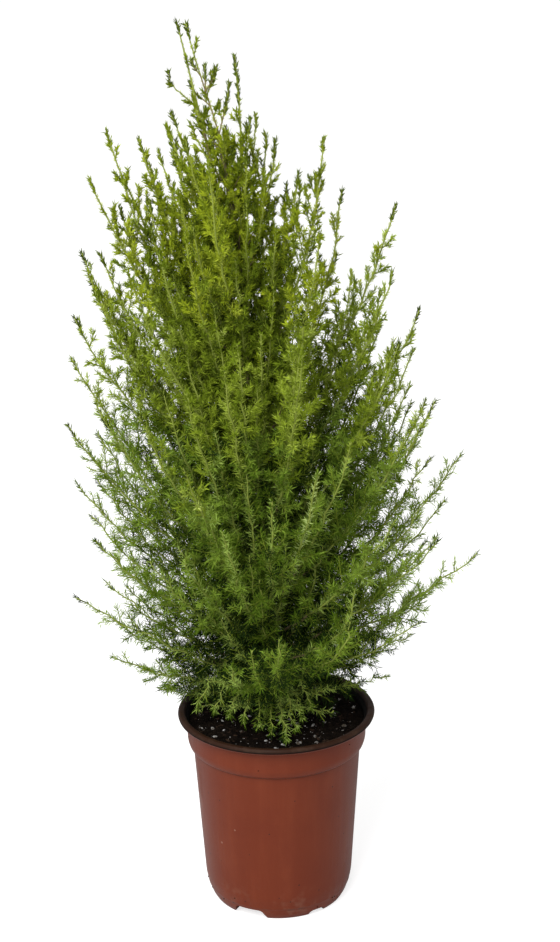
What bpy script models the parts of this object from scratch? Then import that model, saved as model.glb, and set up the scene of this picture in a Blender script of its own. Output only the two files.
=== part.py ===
"""A young lemon cypress in its nursery pot.

The pot is a thin turned shell with a rolled rim, filled with potting mix.
One trunk rises out of it and leans to the left at the top. Shoots leave the trunk
all the way up: the long low ones begin as a woody bough, and every shoot carries one
feathery mass of needle sprays. Sizes are in metres, +Z is up, and the origin is the
centre of the pot's flat underside.
"""
import math
import random

import bmesh
import bpy
import numpy as np
from mathutils import Matrix, Vector

GAP = 0.0003

# Pot
POT_HEIGHT = 0.169
POT_SIDES = 36
POT_WALL = 0.0016
RIM_RADIUS = 0.0825
RIM_DEPTH = 0.0052
RIM_WIDTH = 0.0060
RIM_ROUNDING = 0.0016
COLLAR_RADIUS = 0.0752
COLLAR_TAPER = 0.0006
COLLAR_DEPTH = 0.0250
SHOULDER_DEPTH = 0.0315
WALL_TOP_RADIUS = 0.0700
WALL_FOOT_RADIUS = 0.0622
CHAMFER_HEIGHT = 0.0200
FOOT_RADIUS = 0.0553
FOOT_GROOVE = (0.0579, 0.0045)
FOOT_SHOULDER = (0.0603, 0.0110)
FLOOR_THICKNESS = 0.0115
FLOOR_CORNER = 0.0035

# Drainage channels in the underside, opening at the foot's edge
CHANNEL_COUNT = 6
CHANNEL_FIRST_ANGLE = math.radians(244)
CHANNEL_WIDTH = 0.034
CHANNEL_TALL = 0.0088
CHANNEL_LOW = 0.0045
CHANNEL_LOW_WIDTH = 0.0187
CHANNEL_TOP_SHARE = 0.68
CHANNEL_INNER_END = 0.034
CUTTER_OUTER_END = 0.075
CUTTER_BELOW = -0.004

# Potting mix
SOIL_EDGE = 0.1600
SOIL_DOME = 0.0022
SOIL_SLOPE_RADIUS = 0.045
SOIL_SLOPE_SHARE = 0.7
SOIL_TOP_RADIUS = 0.016

# Trunk
TRUNK_FOOT = Vector((-0.003, 0.004))
TRUNK_BASE = SOIL_EDGE + SOIL_DOME + GAP
TRUNK_TOP = 0.648
TRUNK_LEAN = 0.010
TRUNK_SWEEP = 0.023
TRUNK_SWAY = 0.003
TRUNK_RADIUS = 0.0062
TRUNK_TIP_RADIUS = 0.0023
ROOT_FLARE = 0.0050
FLARE_HEIGHT = 0.011
TRUNK_SIDES = 8
TRUNK_RINGS = 13

# Where the furthest shoots end, as (height, distance out from the pot's axis)
LEADER_TIP = Vector((-0.067, 0.000, 0.739))
SECOND_LEADER_TIP = Vector((-0.023, -0.006, 0.708))
LEFT_SHOOTS = (
    (0.200, 0.090),
    (0.236, 0.129),
    (0.279, 0.161),
    (0.362, 0.160),
    (0.425, 0.160),
    (0.467, 0.159),
    (0.512, 0.151),
    (0.553, 0.147),
    (0.620, 0.134),
    (0.649, 0.124),
)
RIGHT_SHOOTS = (
    (0.205, 0.092),
    (0.262, 0.131),
    (0.312, 0.164),
    (0.381, 0.154),
    (0.440, 0.129),
    (0.503, 0.119),
    (0.545, 0.095),
    (0.587, 0.100),
    (0.648, 0.043),
)
TOP_SHOOTS = (
    (0.697, -0.073),
    (0.656, -0.076),
    (0.662, -0.008),
)
SIDE_WOBBLE = 0.022
TOP_WOBBLE = 0.009

# Shoots that turn round the front and the back between those two rows
CROWN_OUTLINE = (
    (0.190, 0.090),
    (0.240, 0.125),
    (0.300, 0.148),
    (0.420, 0.146),
    (0.500, 0.128),
    (0.580, 0.104),
    (0.670, 0.062),
)
ROUND_SHOOTS = 17
ROUND_LOWEST = 0.235
ROUND_HIGHEST = 0.668
GOLDEN_ANGLE = math.radians(137.508)
SIDE_ARC = math.radians(20)

# Short shoots that lie low over the potting mix
SKIRT_ANGLES = tuple(math.radians(angle) for angle in (58, 122, 204, 232, 262, 291, 322))
SKIRT_REACH = 0.064
SKIRT_HEIGHTS = (0.181, 0.192)

# How a shoot leaves the trunk and bends upward
ATTACH_RISE = 0.022
ATTACH_CURVE = 1.15
STEEPEST_RISE = 2.6
SHOOT_BEND = math.radians(13)
SHOOT_STEPS = 16
SHOOT_CLEARANCE = 0.0075
CROWDED_STEPS = 4
CROWDED_CLEARANCE = 0.0050
SWING_STEP = math.radians(4)
SWING_TRIES = 16

# Boughs carry the long low shoots
BOUGH_COUNT = 9
BOUGH_SHARE = 0.28
BOUGH_RADIUS = 0.0030
BOUGH_SIDES = 5
BOUGH_STEPS = 4
LEAST_LEAN = 0.2

# Stems and needle sprays
STEM_RADIUS = 0.0023
STEM_TIP_RADIUS = 0.0009
STEM_SIDES = 3
STEM_BARE_SHARE = 0.12
STEM_WHORL_SPACING = 0.026
STEM_NEEDLE = 0.0100
STEM_NEEDLE_FADE = 0.5
SPRAY_SPACING = 0.0262
SPRAY_FIRST = 0.06
SPRAY_LAST = 0.90
SPRAY_LENGTH = 0.064
SPRAY_TIP_SHARE = 0.36
SPRAY_ANGLE = math.radians(37)
SPRAY_LIFT = 0.20
SPRAY_WHORL_SPACING = 0.0225
SPRAY_CORE = 0.0021
SPRAY_NEEDLE = 0.0084
SPRAY_ROOT_SHARE = 0.55
SPRAY_FADE = 0.45
SPRAY_ASIDE = (0, math.radians(52), math.radians(-52))
SPRAY_TRIES = (1.0, 0.85, 0.7, 0.55, 0.42, 0.32)
NEEDLE_LEAN = 0.82
RING_TWIST = math.radians(45)
TIP_MARGIN = 0.002
STEEP_REACH = 0.05
STEEP_ALLOWANCE = 0.3
CELL_MARGIN = 0.0012
LIMB_MARGIN = 0.0012
RIM_MARGIN = 0.004
NEIGHBOUR_SPAN = 0.09
SEED = 20

# Colours as linear red, green and blue
POT_COLOUR = (0.175, 0.040, 0.018)
SOIL_COLOUR = (0.012, 0.009, 0.006)
BARK_COLOUR = (0.150, 0.080, 0.040)
SHOOT_COLOURS = ((0.120, 0.185, 0.018), (0.090, 0.150, 0.014), (0.150, 0.220, 0.028))


def clear_scene():
    for item in list(bpy.data.objects):
        bpy.data.objects.remove(item, do_unlink=True)


def plain_material(name, colour, roughness):
    material = bpy.data.materials.new(name)
    material.use_nodes = True
    shader = material.node_tree.nodes["Principled BSDF"]
    shader.inputs["Base Color"].default_value = (*colour, 1.0)
    shader.inputs["Roughness"].default_value = roughness
    shader.inputs["Metallic"].default_value = 0.0
    return material


def add_object(name, shape, material=None):
    """Turn a bmesh into a scene object with outward faces."""
    bmesh.ops.recalc_face_normals(shape, faces=shape.faces)
    mesh = bpy.data.meshes.new(name)
    shape.to_mesh(mesh)
    shape.free()
    if material:
        mesh.materials.append(material)
    item = bpy.data.objects.new(name, mesh)
    bpy.context.scene.collection.objects.link(item)
    return item


def shade_round(item, angle):
    item.data.shade_smooth()
    item.data.set_sharp_from_angle(angle=angle)


# Pot and potting mix


def turned(profile, sides):
    """Spin an outline of (radius, height) about the Z axis; both ends lie on the axis."""
    shape = bmesh.new()
    rings = []
    for radius, height in profile:
        if radius == 0:
            rings.append([shape.verts.new((0, 0, height))])
            continue
        ring = []
        for side in range(sides):
            angle = 2 * math.pi * side / sides
            point = (radius * math.cos(angle), radius * math.sin(angle), height)
            ring.append(shape.verts.new(point))
        rings.append(ring)
    for lower, upper in zip(rings, rings[1:]):
        for side in range(sides):
            after = (side + 1) % sides
            corners = [lower[side % len(lower)], lower[after % len(lower)]]
            corners += [upper[after % len(upper)], upper[side % len(upper)]]
            unique = list(dict.fromkeys(corners))
            shape.faces.new(unique)
    return shape


def pot_outer_radius(height):
    """Outer radius of the plain wall between the foot's chamfer and the shoulder."""
    top = POT_HEIGHT - SHOULDER_DEPTH
    share = (height - CHAMFER_HEIGHT) / (top - CHAMFER_HEIGHT)
    return WALL_FOOT_RADIUS + (WALL_TOP_RADIUS - WALL_FOOT_RADIUS) * share


def pot_inner_radius(height):
    """Inner radius of the shell, which follows its outside from the floor to the rim."""
    shoulder = POT_HEIGHT - SHOULDER_DEPTH
    collar = POT_HEIGHT - COLLAR_DEPTH
    under = WALL_TOP_RADIUS - POT_WALL
    over = COLLAR_RADIUS - COLLAR_TAPER - POT_WALL
    if height <= shoulder:
        return pot_outer_radius(max(height, CHAMFER_HEIGHT)) - POT_WALL
    if height <= collar:
        return under + (over - under) * (height - shoulder) / (collar - shoulder)
    return over + COLLAR_TAPER * (height - collar) / COLLAR_DEPTH


def pot_profile():
    shoulder = POT_HEIGHT - SHOULDER_DEPTH
    collar = POT_HEIGHT - COLLAR_DEPTH
    rim_foot = POT_HEIGHT - RIM_DEPTH
    outline = [
        (0, 0),
        (FOOT_RADIUS, 0),
        FOOT_GROOVE,
        FOOT_SHOULDER,
        (WALL_FOOT_RADIUS, CHAMFER_HEIGHT),
        (WALL_TOP_RADIUS, shoulder),
        (COLLAR_RADIUS - 0.0022, shoulder + 0.0018),
        (COLLAR_RADIUS - COLLAR_TAPER, collar),
        (COLLAR_RADIUS, rim_foot),
        (RIM_RADIUS - RIM_ROUNDING, rim_foot),
        (RIM_RADIUS, rim_foot + RIM_ROUNDING),
        (RIM_RADIUS - 0.0006, POT_HEIGHT - RIM_ROUNDING),
        (RIM_RADIUS - 0.0026, POT_HEIGHT),
        (RIM_RADIUS - RIM_WIDTH, POT_HEIGHT - 0.0004),
        (pot_inner_radius(rim_foot) + 0.0006, POT_HEIGHT - 0.0022),
        (pot_inner_radius(rim_foot), rim_foot),
        (pot_inner_radius(collar), collar),
        (pot_inner_radius(shoulder), shoulder),
        (pot_inner_radius(CHAMFER_HEIGHT), CHAMFER_HEIGHT),
        (pot_inner_radius(CHAMFER_HEIGHT) - FLOOR_CORNER, FLOOR_THICKNESS),
        (0, FLOOR_THICKNESS),
    ]
    return outline


def channel_cutter():
    """Six tapered wedges, one for each drainage channel, tall and low in turn."""
    shape = bmesh.new()
    for number in range(CHANNEL_COUNT):
        angle = CHANNEL_FIRST_ANGLE + number * 2 * math.pi / CHANNEL_COUNT
        height = CHANNEL_TALL if number % 2 == 0 else CHANNEL_LOW
        half = (CHANNEL_WIDTH if number % 2 == 0 else CHANNEL_LOW_WIDTH) / 2
        top = half * CHANNEL_TOP_SHARE
        section = ((-half, CUTTER_BELOW), (half, CUTTER_BELOW), (top, height), (-top, height))
        turn = Matrix.Rotation(angle, 4, "Z")
        ends = []
        for reach in (CHANNEL_INNER_END, CUTTER_OUTER_END):
            ends.append([shape.verts.new(turn @ Vector((reach, side, up))) for side, up in section])
        shape.faces.new(ends[0])
        shape.faces.new(reversed(ends[1]))
        for corner in range(4):
            after = (corner + 1) % 4
            shape.faces.new((ends[0][corner], ends[1][corner], ends[1][after], ends[0][after]))
    cutter = add_object("drainage_cutter", shape)
    cutter.hide_render = True
    cutter.display_type = "WIRE"
    return cutter


def build_pot():
    material = plain_material("pot", POT_COLOUR, 0.38)
    pot = add_object("pot", turned(pot_profile(), POT_SIDES), material)
    cut = pot.modifiers.new("drainage", "BOOLEAN")
    cut.operation = "DIFFERENCE"
    cut.solver = "EXACT"
    cut.object = channel_cutter()
    shade_round(pot, math.radians(40))
    return pot


def build_soil():
    clear = 1.5 * GAP
    outline = [(0, FLOOR_THICKNESS + GAP)]
    outline.append((pot_inner_radius(CHAMFER_HEIGHT) - FLOOR_CORNER - clear, FLOOR_THICKNESS + GAP))
    for height in (CHAMFER_HEIGHT, POT_HEIGHT - SHOULDER_DEPTH, POT_HEIGHT - COLLAR_DEPTH, SOIL_EDGE):
        outline.append((pot_inner_radius(height) - clear, height))
    outline.append((SOIL_SLOPE_RADIUS, SOIL_EDGE + SOIL_DOME * SOIL_SLOPE_SHARE))
    outline.append((SOIL_TOP_RADIUS, SOIL_EDGE + SOIL_DOME))
    outline.append((0, SOIL_EDGE + SOIL_DOME))
    soil = add_object("soil", turned(outline, POT_SIDES), plain_material("soil", SOIL_COLOUR, 0.95))
    shade_round(soil, math.radians(40))
    return soil


# Trunk and limbs


def trunk_centre(height):
    share = (height - TRUNK_BASE) / (TRUNK_TOP - TRUNK_BASE)
    across = TRUNK_FOOT.x - TRUNK_LEAN * share - TRUNK_SWEEP * max(share, 0) ** 3
    away = TRUNK_FOOT.y * (1 - share) + TRUNK_SWAY * math.sin(math.pi * 1.5 * share)
    return Vector((across, away, height))


def trunk_radius(height):
    share = (height - TRUNK_BASE) / (TRUNK_TOP - TRUNK_BASE)
    flare = ROOT_FLARE * math.exp(-(height - TRUNK_BASE) / FLARE_HEIGHT)
    return TRUNK_RADIUS + (TRUNK_TIP_RADIUS - TRUNK_RADIUS) * share + flare


def ring_frames(points):
    """A direction and two cross axes at each point of a path, turned as little as possible."""
    frames = []
    last = len(points) - 1
    across = None
    for number, point in enumerate(points):
        along = (points[min(number + 1, last)] - points[max(number - 1, 0)]).normalized()
        if across is None:
            across = along.orthogonal().normalized()
        across = (across - along * across.dot(along)).normalized()
        frames.append((along, across, along.cross(across)))
    return frames


def tube(points, radii, sides, twists=None, pointed=False, cut_normal=None):
    """A closed limb along a path, with one ring of corners at each point.

    The last point is a single sharp tip when pointed is set. With cut_normal, the first
    ring is slid along the limb until it lies flat in the plane with that normal.
    """
    shape = bmesh.new()
    rings = []
    frames = ring_frames(points)
    for number, point in enumerate(points):
        if pointed and number == len(points) - 1:
            rings.append([shape.verts.new(point)])
            continue
        along, across, up = frames[number]
        twist = twists[number] if twists else 0
        ring = []
        for side in range(sides):
            angle = 2 * math.pi * side / sides + twist
            corner = point + radii[number] * (across * math.cos(angle) + up * math.sin(angle))
            if number == 0 and cut_normal:
                corner += along * (point - corner).dot(cut_normal) / along.dot(cut_normal)
            ring.append(shape.verts.new(corner))
        rings.append(ring)
    for lower, upper in zip(rings, rings[1:]):
        for side in range(sides):
            after = (side + 1) % sides
            if len(upper) == 1:
                shape.faces.new((lower[side], lower[after], upper[0]))
                continue
            shape.faces.new((lower[side], lower[after], upper[side]))
            shape.faces.new((lower[after], upper[after], upper[side]))
    shape.faces.new(list(reversed(rings[0])))
    if not pointed:
        shape.faces.new(rings[-1])
    return shape


def build_trunk():
    points = []
    for number in range(TRUNK_RINGS):
        share = (number / (TRUNK_RINGS - 1)) ** 1.5
        points.append(trunk_centre(TRUNK_BASE + (TRUNK_TOP - TRUNK_BASE) * share))
    radii = [trunk_radius(point.z) for point in points]
    shape = tube(points, radii, TRUNK_SIDES, cut_normal=Vector((0, 0, 1)))
    trunk = add_object("trunk", shape, plain_material("bark", BARK_COLOUR, 0.85))
    shade_round(trunk, math.radians(60))
    return trunk


# Shoots


class Shoot:
    """One shoot: a path from the trunk to its tip, woody at first where it is a bough."""

    def __init__(self, name, tip):
        self.name = name
        self.tip = tip
        self.has_bough = False
        self.on_trunk_side = True
        self.points = shoot_path(tip)

    def length(self):
        return sum((b - a).length for a, b in zip(self.points, self.points[1:]))

    def at(self, share):
        """The point at a share of the path's steps."""
        place = share * (len(self.points) - 1)
        step = min(int(place), len(self.points) - 2)
        return self.points[step].lerp(self.points[step + 1], place - step)

    def stem_start(self):
        return BOUGH_SHARE if self.has_bough else 0.0


def bezier(start, first, second, end, share):
    rest = 1 - share
    near = start * rest ** 3 + first * (3 * rest * rest * share)
    return near + second * (3 * rest * share * share) + end * share ** 3


def attach_height(tip):
    """Where a shoot leaves the trunk: low ones rise little, and none is steeper than the limit."""
    above = tip.z - TRUNK_BASE
    centre = trunk_centre(min(tip.z, TRUNK_TOP))
    reach = math.hypot(tip.x - centre.x, tip.y - centre.y)
    curve = TRUNK_BASE + ATTACH_RISE + ATTACH_CURVE * above ** 2
    return min(max(curve, tip.z - STEEPEST_RISE * reach), tip.z - 0.004)


def shoot_path(tip):
    """A gentle arc that leaves the trunk outward and turns up toward the tip."""
    attach = attach_height(tip)
    centre = trunk_centre(attach)
    outward = Vector((tip.x - centre.x, tip.y - centre.y, 0)).normalized()
    clear = trunk_radius(attach) + GAP
    start = centre + outward * clear
    chord = tip - start
    steep = math.atan2(Vector((chord.x, chord.y)).length, chord.z)
    third = chord.length / 3
    leaving = outward * math.sin(steep + SHOOT_BEND) + Vector((0, 0, math.cos(steep + SHOOT_BEND)))
    arriving = outward * math.sin(steep - SHOOT_BEND) + Vector((0, 0, math.cos(steep - SHOOT_BEND)))
    first = start + leaving * third
    second = tip - arriving * third
    steps = range(SHOOT_STEPS + 1)
    return [bezier(start, first, second, tip, step / SHOOT_STEPS) for step in steps]


def outline_reach(height):
    for (low, near), (high, far) in zip(CROWN_OUTLINE, CROWN_OUTLINE[1:]):
        if height <= high:
            return near + (far - near) * (height - low) / (high - low)
    return CROWN_OUTLINE[-1][1]


def distances(points, path):
    """Distance from each point to a path, and the share of the path where it is nearest."""
    points = np.array([tuple(point) for point in points])
    path = np.array([tuple(point) for point in path])
    starts = path[:-1]
    steps = path[1:] - starts
    offsets = points[:, None, :] - starts[None]
    shares = np.einsum("psk,sk->ps", offsets, steps) / np.einsum("sk,sk->s", steps, steps)
    shares = np.clip(shares, 0, 1)
    lengths = np.linalg.norm(offsets - shares[..., None] * steps[None], axis=2)
    nearest = lengths.argmin(axis=1)
    rows = np.arange(len(points))
    return lengths[rows, nearest], (nearest + shares[rows, nearest]) / len(steps)


def is_clear(path, others):
    """True when a path keeps clear of all other shoots, where they crowd at the trunk less so."""
    for other in others:
        space = distances(path, other.points)[0]
        if space[:CROWDED_STEPS].min() < CROWDED_CLEARANCE:
            return False
        if space[CROWDED_STEPS:].min() < SHOOT_CLEARANCE:
            return False
    return True


def swung_shoot(name, reach, height, angle, others):
    """A shoot at an angle about the trunk, swung aside until it passes clear of the others."""
    centre = trunk_centre(height)
    for swing in range(SWING_TRIES):
        side = 1 if swing % 2 else -1
        turned_angle = angle + side * ((swing + 1) // 2) * SWING_STEP
        out = Vector((math.cos(turned_angle), math.sin(turned_angle), 0)) * reach
        shoot = Shoot(name, Vector((centre.x, centre.y, height)) + out)
        if is_clear(shoot.points, others):
            return shoot
    return None


def plan_shoots():
    """Every shoot of the crown: the measured ones first, and then those that fill in round it."""
    shoots = [Shoot("second_leader", SECOND_LEADER_TIP)]
    for side_name, side, rows in (("left", -1, LEFT_SHOOTS), ("right", 1, RIGHT_SHOOTS)):
        for number, (height, reach) in enumerate(rows):
            wobble = SIDE_WOBBLE * (1 if number % 2 else -1)
            name = f"{side_name}_plume_{number + 1:02d}"
            shoots.append(Shoot(name, Vector((side * reach, wobble, height))))
    for number, (height, across) in enumerate(TOP_SHOOTS):
        away = TOP_WOBBLE * (number - 1)
        shoots.append(Shoot(f"top_plume_{number + 1:02d}", Vector((across, away, height))))
    for number, angle in enumerate(SKIRT_ANGLES):
        height = SKIRT_HEIGHTS[number % 2]
        shoot = swung_shoot(f"skirt_plume_{number + 1:02d}", SKIRT_REACH, height, angle, shoots)
        if shoot:
            shoots.append(shoot)
    for number in range(ROUND_SHOOTS):
        share = number / (ROUND_SHOOTS - 1)
        height = ROUND_LOWEST + (ROUND_HIGHEST - ROUND_LOWEST) * share
        turn = (number * GOLDEN_ANGLE) % (2 * math.pi)
        half = SIDE_ARC + (turn % math.pi) * (math.pi - 2 * SIDE_ARC) / math.pi
        angle = half if turn < math.pi else half + math.pi
        side = "back" if angle < math.pi else "front"
        name = f"{side}_plume_{number + 1:02d}"
        shoot = swung_shoot(name, outline_reach(height), height, angle, shoots)
        if shoot:
            shoots.append(shoot)
    long_low = sorted(shoots, key=lambda shoot: shoot.points[0].z - 0.5 * shoot.length())
    for shoot in long_low[:BOUGH_COUNT]:
        shoot.has_bough = True
    return shoots


def build_bough(shoot, material):
    """The woody first part of a shoot, cut flat where it meets the trunk."""
    steps = range(BOUGH_STEPS + 1)
    points = [shoot.at(BOUGH_SHARE * step / BOUGH_STEPS) for step in steps]
    direction = (points[-1] - points[-2]).normalized()
    points[-1] = points[-1] - direction * GAP
    radii = [BOUGH_RADIUS + (STEM_RADIUS - BOUGH_RADIUS) * step / BOUGH_STEPS for step in steps]
    points = clear_of_trunk(points, radii[0])
    name = shoot.name.replace("plume", "bough")
    bough = add_object(name, tube(points, radii, BOUGH_SIDES, cut_normal=outward_at(points[0])), material)
    shade_round(bough, math.radians(60))
    return bough


def outward_at(point):
    centre = trunk_centre(point.z)
    return Vector((point.x - centre.x, point.y - centre.y, 0)).normalized()


def clear_of_trunk(points, radius):
    """Slide a path's first point outward until its flat end clears the trunk by the gap."""
    start = points[0]
    outward = outward_at(start)
    along = (points[1] - start).normalized()
    lean = max(math.sqrt(1 - along.z ** 2), LEAST_LEAN)
    reach = radius / lean
    need = 0.0
    for lift in (-reach, 0, reach):
        level = start.z + lift
        centre = trunk_centre(level)
        beside = Vector((start.x - centre.x, start.y - centre.y, 0)).dot(outward)
        need = max(need, trunk_radius(level) + GAP - beside)
    return [start + outward * need] + points[1:]


# Needle masses


def stem_radius(share):
    return STEM_RADIUS + (STEM_TIP_RADIUS - STEM_RADIUS) * share


def needle_reach(point, shoot, others, wanted):
    """How far needles may stand out of a stem here before they reach a neighbour or the trunk."""
    centre = trunk_centre(min(max(point.z, TRUNK_BASE), TRUNK_TOP))
    reach = min(wanted, (point - centre).length - trunk_radius(centre.z) - LIMB_MARGIN)
    reach = min(reach, point.z - SOIL_EDGE - SOIL_DOME - LIMB_MARGIN)
    for other in others:
        if other is not shoot:
            space = float(distances([point], other.points)[0][0])
            reach = min(reach, (space - CELL_MARGIN) / 2)
    return reach


def stem_shape(shoot, others):
    """The stem of a mass: bare where it starts, then ringed with whorls of forward needles."""
    begin = shoot.stem_start()
    whorls = max(round(shoot.length() * (1 - begin) / STEM_WHORL_SPACING), 3)
    span = (1 - STEM_BARE_SHARE) / whorls
    shares = [0.0, STEM_BARE_SHARE]
    radii = [stem_radius(0.0), stem_radius(STEM_BARE_SHARE)]
    for whorl in range(whorls):
        root = STEM_BARE_SHARE + whorl * span
        if whorl:
            shares.append(root)
            radii.append(stem_radius(root))
        tip = root + span * NEEDLE_LEAN
        wanted = STEM_NEEDLE * (1 - STEM_NEEDLE_FADE * tip)
        shares.append(tip)
        radii.append(needle_reach(shoot.at(begin + (1 - begin) * tip), shoot, others, wanted))
    shares.append(1.0)
    radii.append(0.0)
    points = [shoot.at(begin + (1 - begin) * share) for share in shares]
    twists = [max(number - 1, 0) * RING_TWIST for number in range(len(points))]
    if shoot.has_bough or not shoot.on_trunk_side:
        return tube(points, radii, STEM_SIDES, twists, pointed=True)
    points = clear_of_trunk(points, radii[0])
    return tube(points, radii, STEM_SIDES, twists, pointed=True, cut_normal=outward_at(points[0]))


def spray_shape(root, direction, along, length, root_radius):
    """One spray: a thin root, then whorls of three forward needles that stand out of a core."""
    whorls = max(round(length / SPRAY_WHORL_SPACING), 2)
    shares = [0.0]
    radii = [root_radius]
    for whorl in range(whorls):
        fade = 1 - SPRAY_FADE * whorl / whorls
        if whorl:
            shares.append(whorl / whorls)
            radii.append(SPRAY_CORE * fade)
        shares.append((whorl + NEEDLE_LEAN) / whorls)
        radii.append(SPRAY_NEEDLE * fade)
    shares.append(1.0)
    radii.append(0.0)
    points = [root + length * (direction * share + along * SPRAY_LIFT * share ** 2) for share in shares]
    twists = [number * RING_TWIST for number in range(len(points))]
    return tube(points, radii, STEM_SIDES, twists, pointed=True)


def stays_in_space(shape, shoot, others):
    """True when every corner of a spray keeps to its own mass, off the trunk, soil and pot."""
    corners = [vert.co for vert in shape.verts]
    corners += [(edge.verts[0].co + edge.verts[1].co) / 2 for edge in shape.edges]
    for corner in corners:
        if corner.z < SOIL_EDGE + SOIL_DOME + LIMB_MARGIN:
            return False
        over_rim = math.hypot(corner.x, corner.y) > pot_inner_radius(SOIL_EDGE) - RIM_MARGIN
        if over_rim and corner.z < POT_HEIGHT + LIMB_MARGIN:
            return False
        centre = trunk_centre(min(max(corner.z, TRUNK_BASE), TRUNK_TOP))
        if (corner - centre).length < trunk_radius(centre.z) + LIMB_MARGIN:
            return False
    chord = shoot.tip - shoot.points[0]
    reach = math.hypot(chord.x, chord.y)
    outward = Vector((chord.x, chord.y, 0)) / reach
    beyond = TIP_MARGIN + STEEP_ALLOWANCE * max(STEEP_REACH - reach, 0)
    for corner in corners:
        past = corner - shoot.tip
        if past.z > TIP_MARGIN or past.dot(outward) > beyond:
            return False
    own, shares = distances(corners, shoot.points)
    if shoot.has_bough and (own[shares < BOUGH_SHARE] < BOUGH_RADIUS + LIMB_MARGIN).any():
        return False
    middle = sum(corners, Vector()) / len(corners)
    for other in others:
        if other is shoot or (other.middle - middle).length > other.span:
            continue
        if (distances(corners, other.points)[0] < own + CELL_MARGIN).any():
            return False
    return True


def sprays_on(shoot, others, dice):
    """Grow sprays up a stem by the golden angle, each cut back until it keeps to its space."""
    begin = shoot.stem_start()
    stem_length = shoot.length() * (1 - begin)
    count = max(round(stem_length * (SPRAY_LAST - SPRAY_FIRST) / SPRAY_SPACING), 2)
    roll = dice.uniform(0, 2 * math.pi)
    grown = []
    for number in range(count):
        share = SPRAY_FIRST + (SPRAY_LAST - SPRAY_FIRST) * (number + 0.5) / count
        place = begin + (1 - begin) * share
        root = shoot.at(place)
        along = (shoot.at(min(place + 0.03, 1)) - shoot.at(place - 0.03)).normalized()
        across = along.orthogonal().normalized()
        envelope = SPRAY_LENGTH * (1 - (1 - SPRAY_TIP_SHARE) * share) * dice.uniform(0.9, 1.1)
        roll += GOLDEN_ANGLE
        for turn_aside in SPRAY_ASIDE:
            aside = Matrix.Rotation(roll + turn_aside, 3, along) @ across
            direction = along * math.cos(SPRAY_ANGLE) + aside * math.sin(SPRAY_ANGLE)
            shape = fitted_spray(root, direction, along, envelope, share, shoot, others)
            if shape:
                grown.append(shape)
                break
    return grown


def fitted_spray(root, direction, along, envelope, share, shoot, others):
    for part in SPRAY_TRIES:
        root_radius = SPRAY_ROOT_SHARE * stem_radius(share)
        shape = spray_shape(root, direction, along, envelope * part, root_radius)
        if stays_in_space(shape, shoot, others):
            return shape
        shape.free()
    return None


def fuse(item, shapes):
    """Join a stem and its sprays into one solid by one Boolean union on a collection."""
    group = bpy.data.collections.new("sprays")
    bpy.context.scene.collection.children.link(group)
    for number, shape in enumerate(shapes):
        spray = add_object(f"spray_{number}", shape)
        bpy.context.scene.collection.objects.unlink(spray)
        group.objects.link(spray)
    union = item.modifiers.new("union", "BOOLEAN")
    union.operation = "UNION"
    union.solver = "EXACT"
    union.operand_type = "COLLECTION"
    union.collection = group
    bpy.context.view_layer.update()
    graph = bpy.context.evaluated_depsgraph_get()
    fused = bpy.data.meshes.new_from_object(item.evaluated_get(graph))
    item.modifiers.remove(union)
    material = item.data.materials[0]
    item.data = fused
    fused.materials.clear()
    fused.materials.append(material)
    for spray in list(group.objects):
        bpy.data.objects.remove(spray, do_unlink=True)
    bpy.data.collections.remove(group)


def build_mass(shoot, others, material, dice):
    shapes = sprays_on(shoot, others, dice)
    mass = add_object(shoot.name, stem_shape(shoot, others), material)
    if shapes:
        fuse(mass, shapes)
    return mass


def leader_shoot():
    """The tree's own tip, which carries straight on from the top of the trunk."""
    leader = Shoot("leader_plume", LEADER_TIP)
    leader.on_trunk_side = False
    top = trunk_centre(TRUNK_TOP)
    along = (top - trunk_centre(TRUNK_TOP - 0.01)).normalized()
    start = top + along * GAP
    middle = start + along * (LEADER_TIP - start).length * 0.5
    steps = range(SHOOT_STEPS + 1)
    leader.points = [bezier(start, middle, middle, LEADER_TIP, step / SHOOT_STEPS) for step in steps]
    return leader


def main():
    clear_scene()
    build_pot()
    build_soil()
    build_trunk()
    bark = plain_material("bough_bark", BARK_COLOUR, 0.85)
    greens = [plain_material(f"foliage_{n + 1}", colour, 0.6) for n, colour in enumerate(SHOOT_COLOURS)]
    shoots = plan_shoots()
    everything = shoots + [leader_shoot()]
    for shoot in everything:
        shoot.middle = shoot.at(0.5)
        shoot.span = shoot.length() / 2 + NEIGHBOUR_SPAN
    dice = random.Random(SEED)
    for number, shoot in enumerate(everything):
        if shoot.has_bough:
            build_bough(shoot, bark)
        build_mass(shoot, everything, greens[number % len(greens)], dice)


main()
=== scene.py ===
# %% [markdown]
# A young lemon cypress in its nursery pot.
#
# This lesson dresses a plain model of the plant. The plain model gives every size: the
# pot, the potting mix, the trunk and forty-eight rough masses of foliage. Here the masses
# become real shoots: each stem carries side sprays, each spray carries twigs, and all of
# them carry soft awl-shaped needles. The pot gets its rolled rim, its dark lining and its
# worn plastic, and the potting mix gets crumbs and grains of white perlite.

import math

import bmesh
import bpy
import numpy as np
from mathutils import Matrix, Vector


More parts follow.
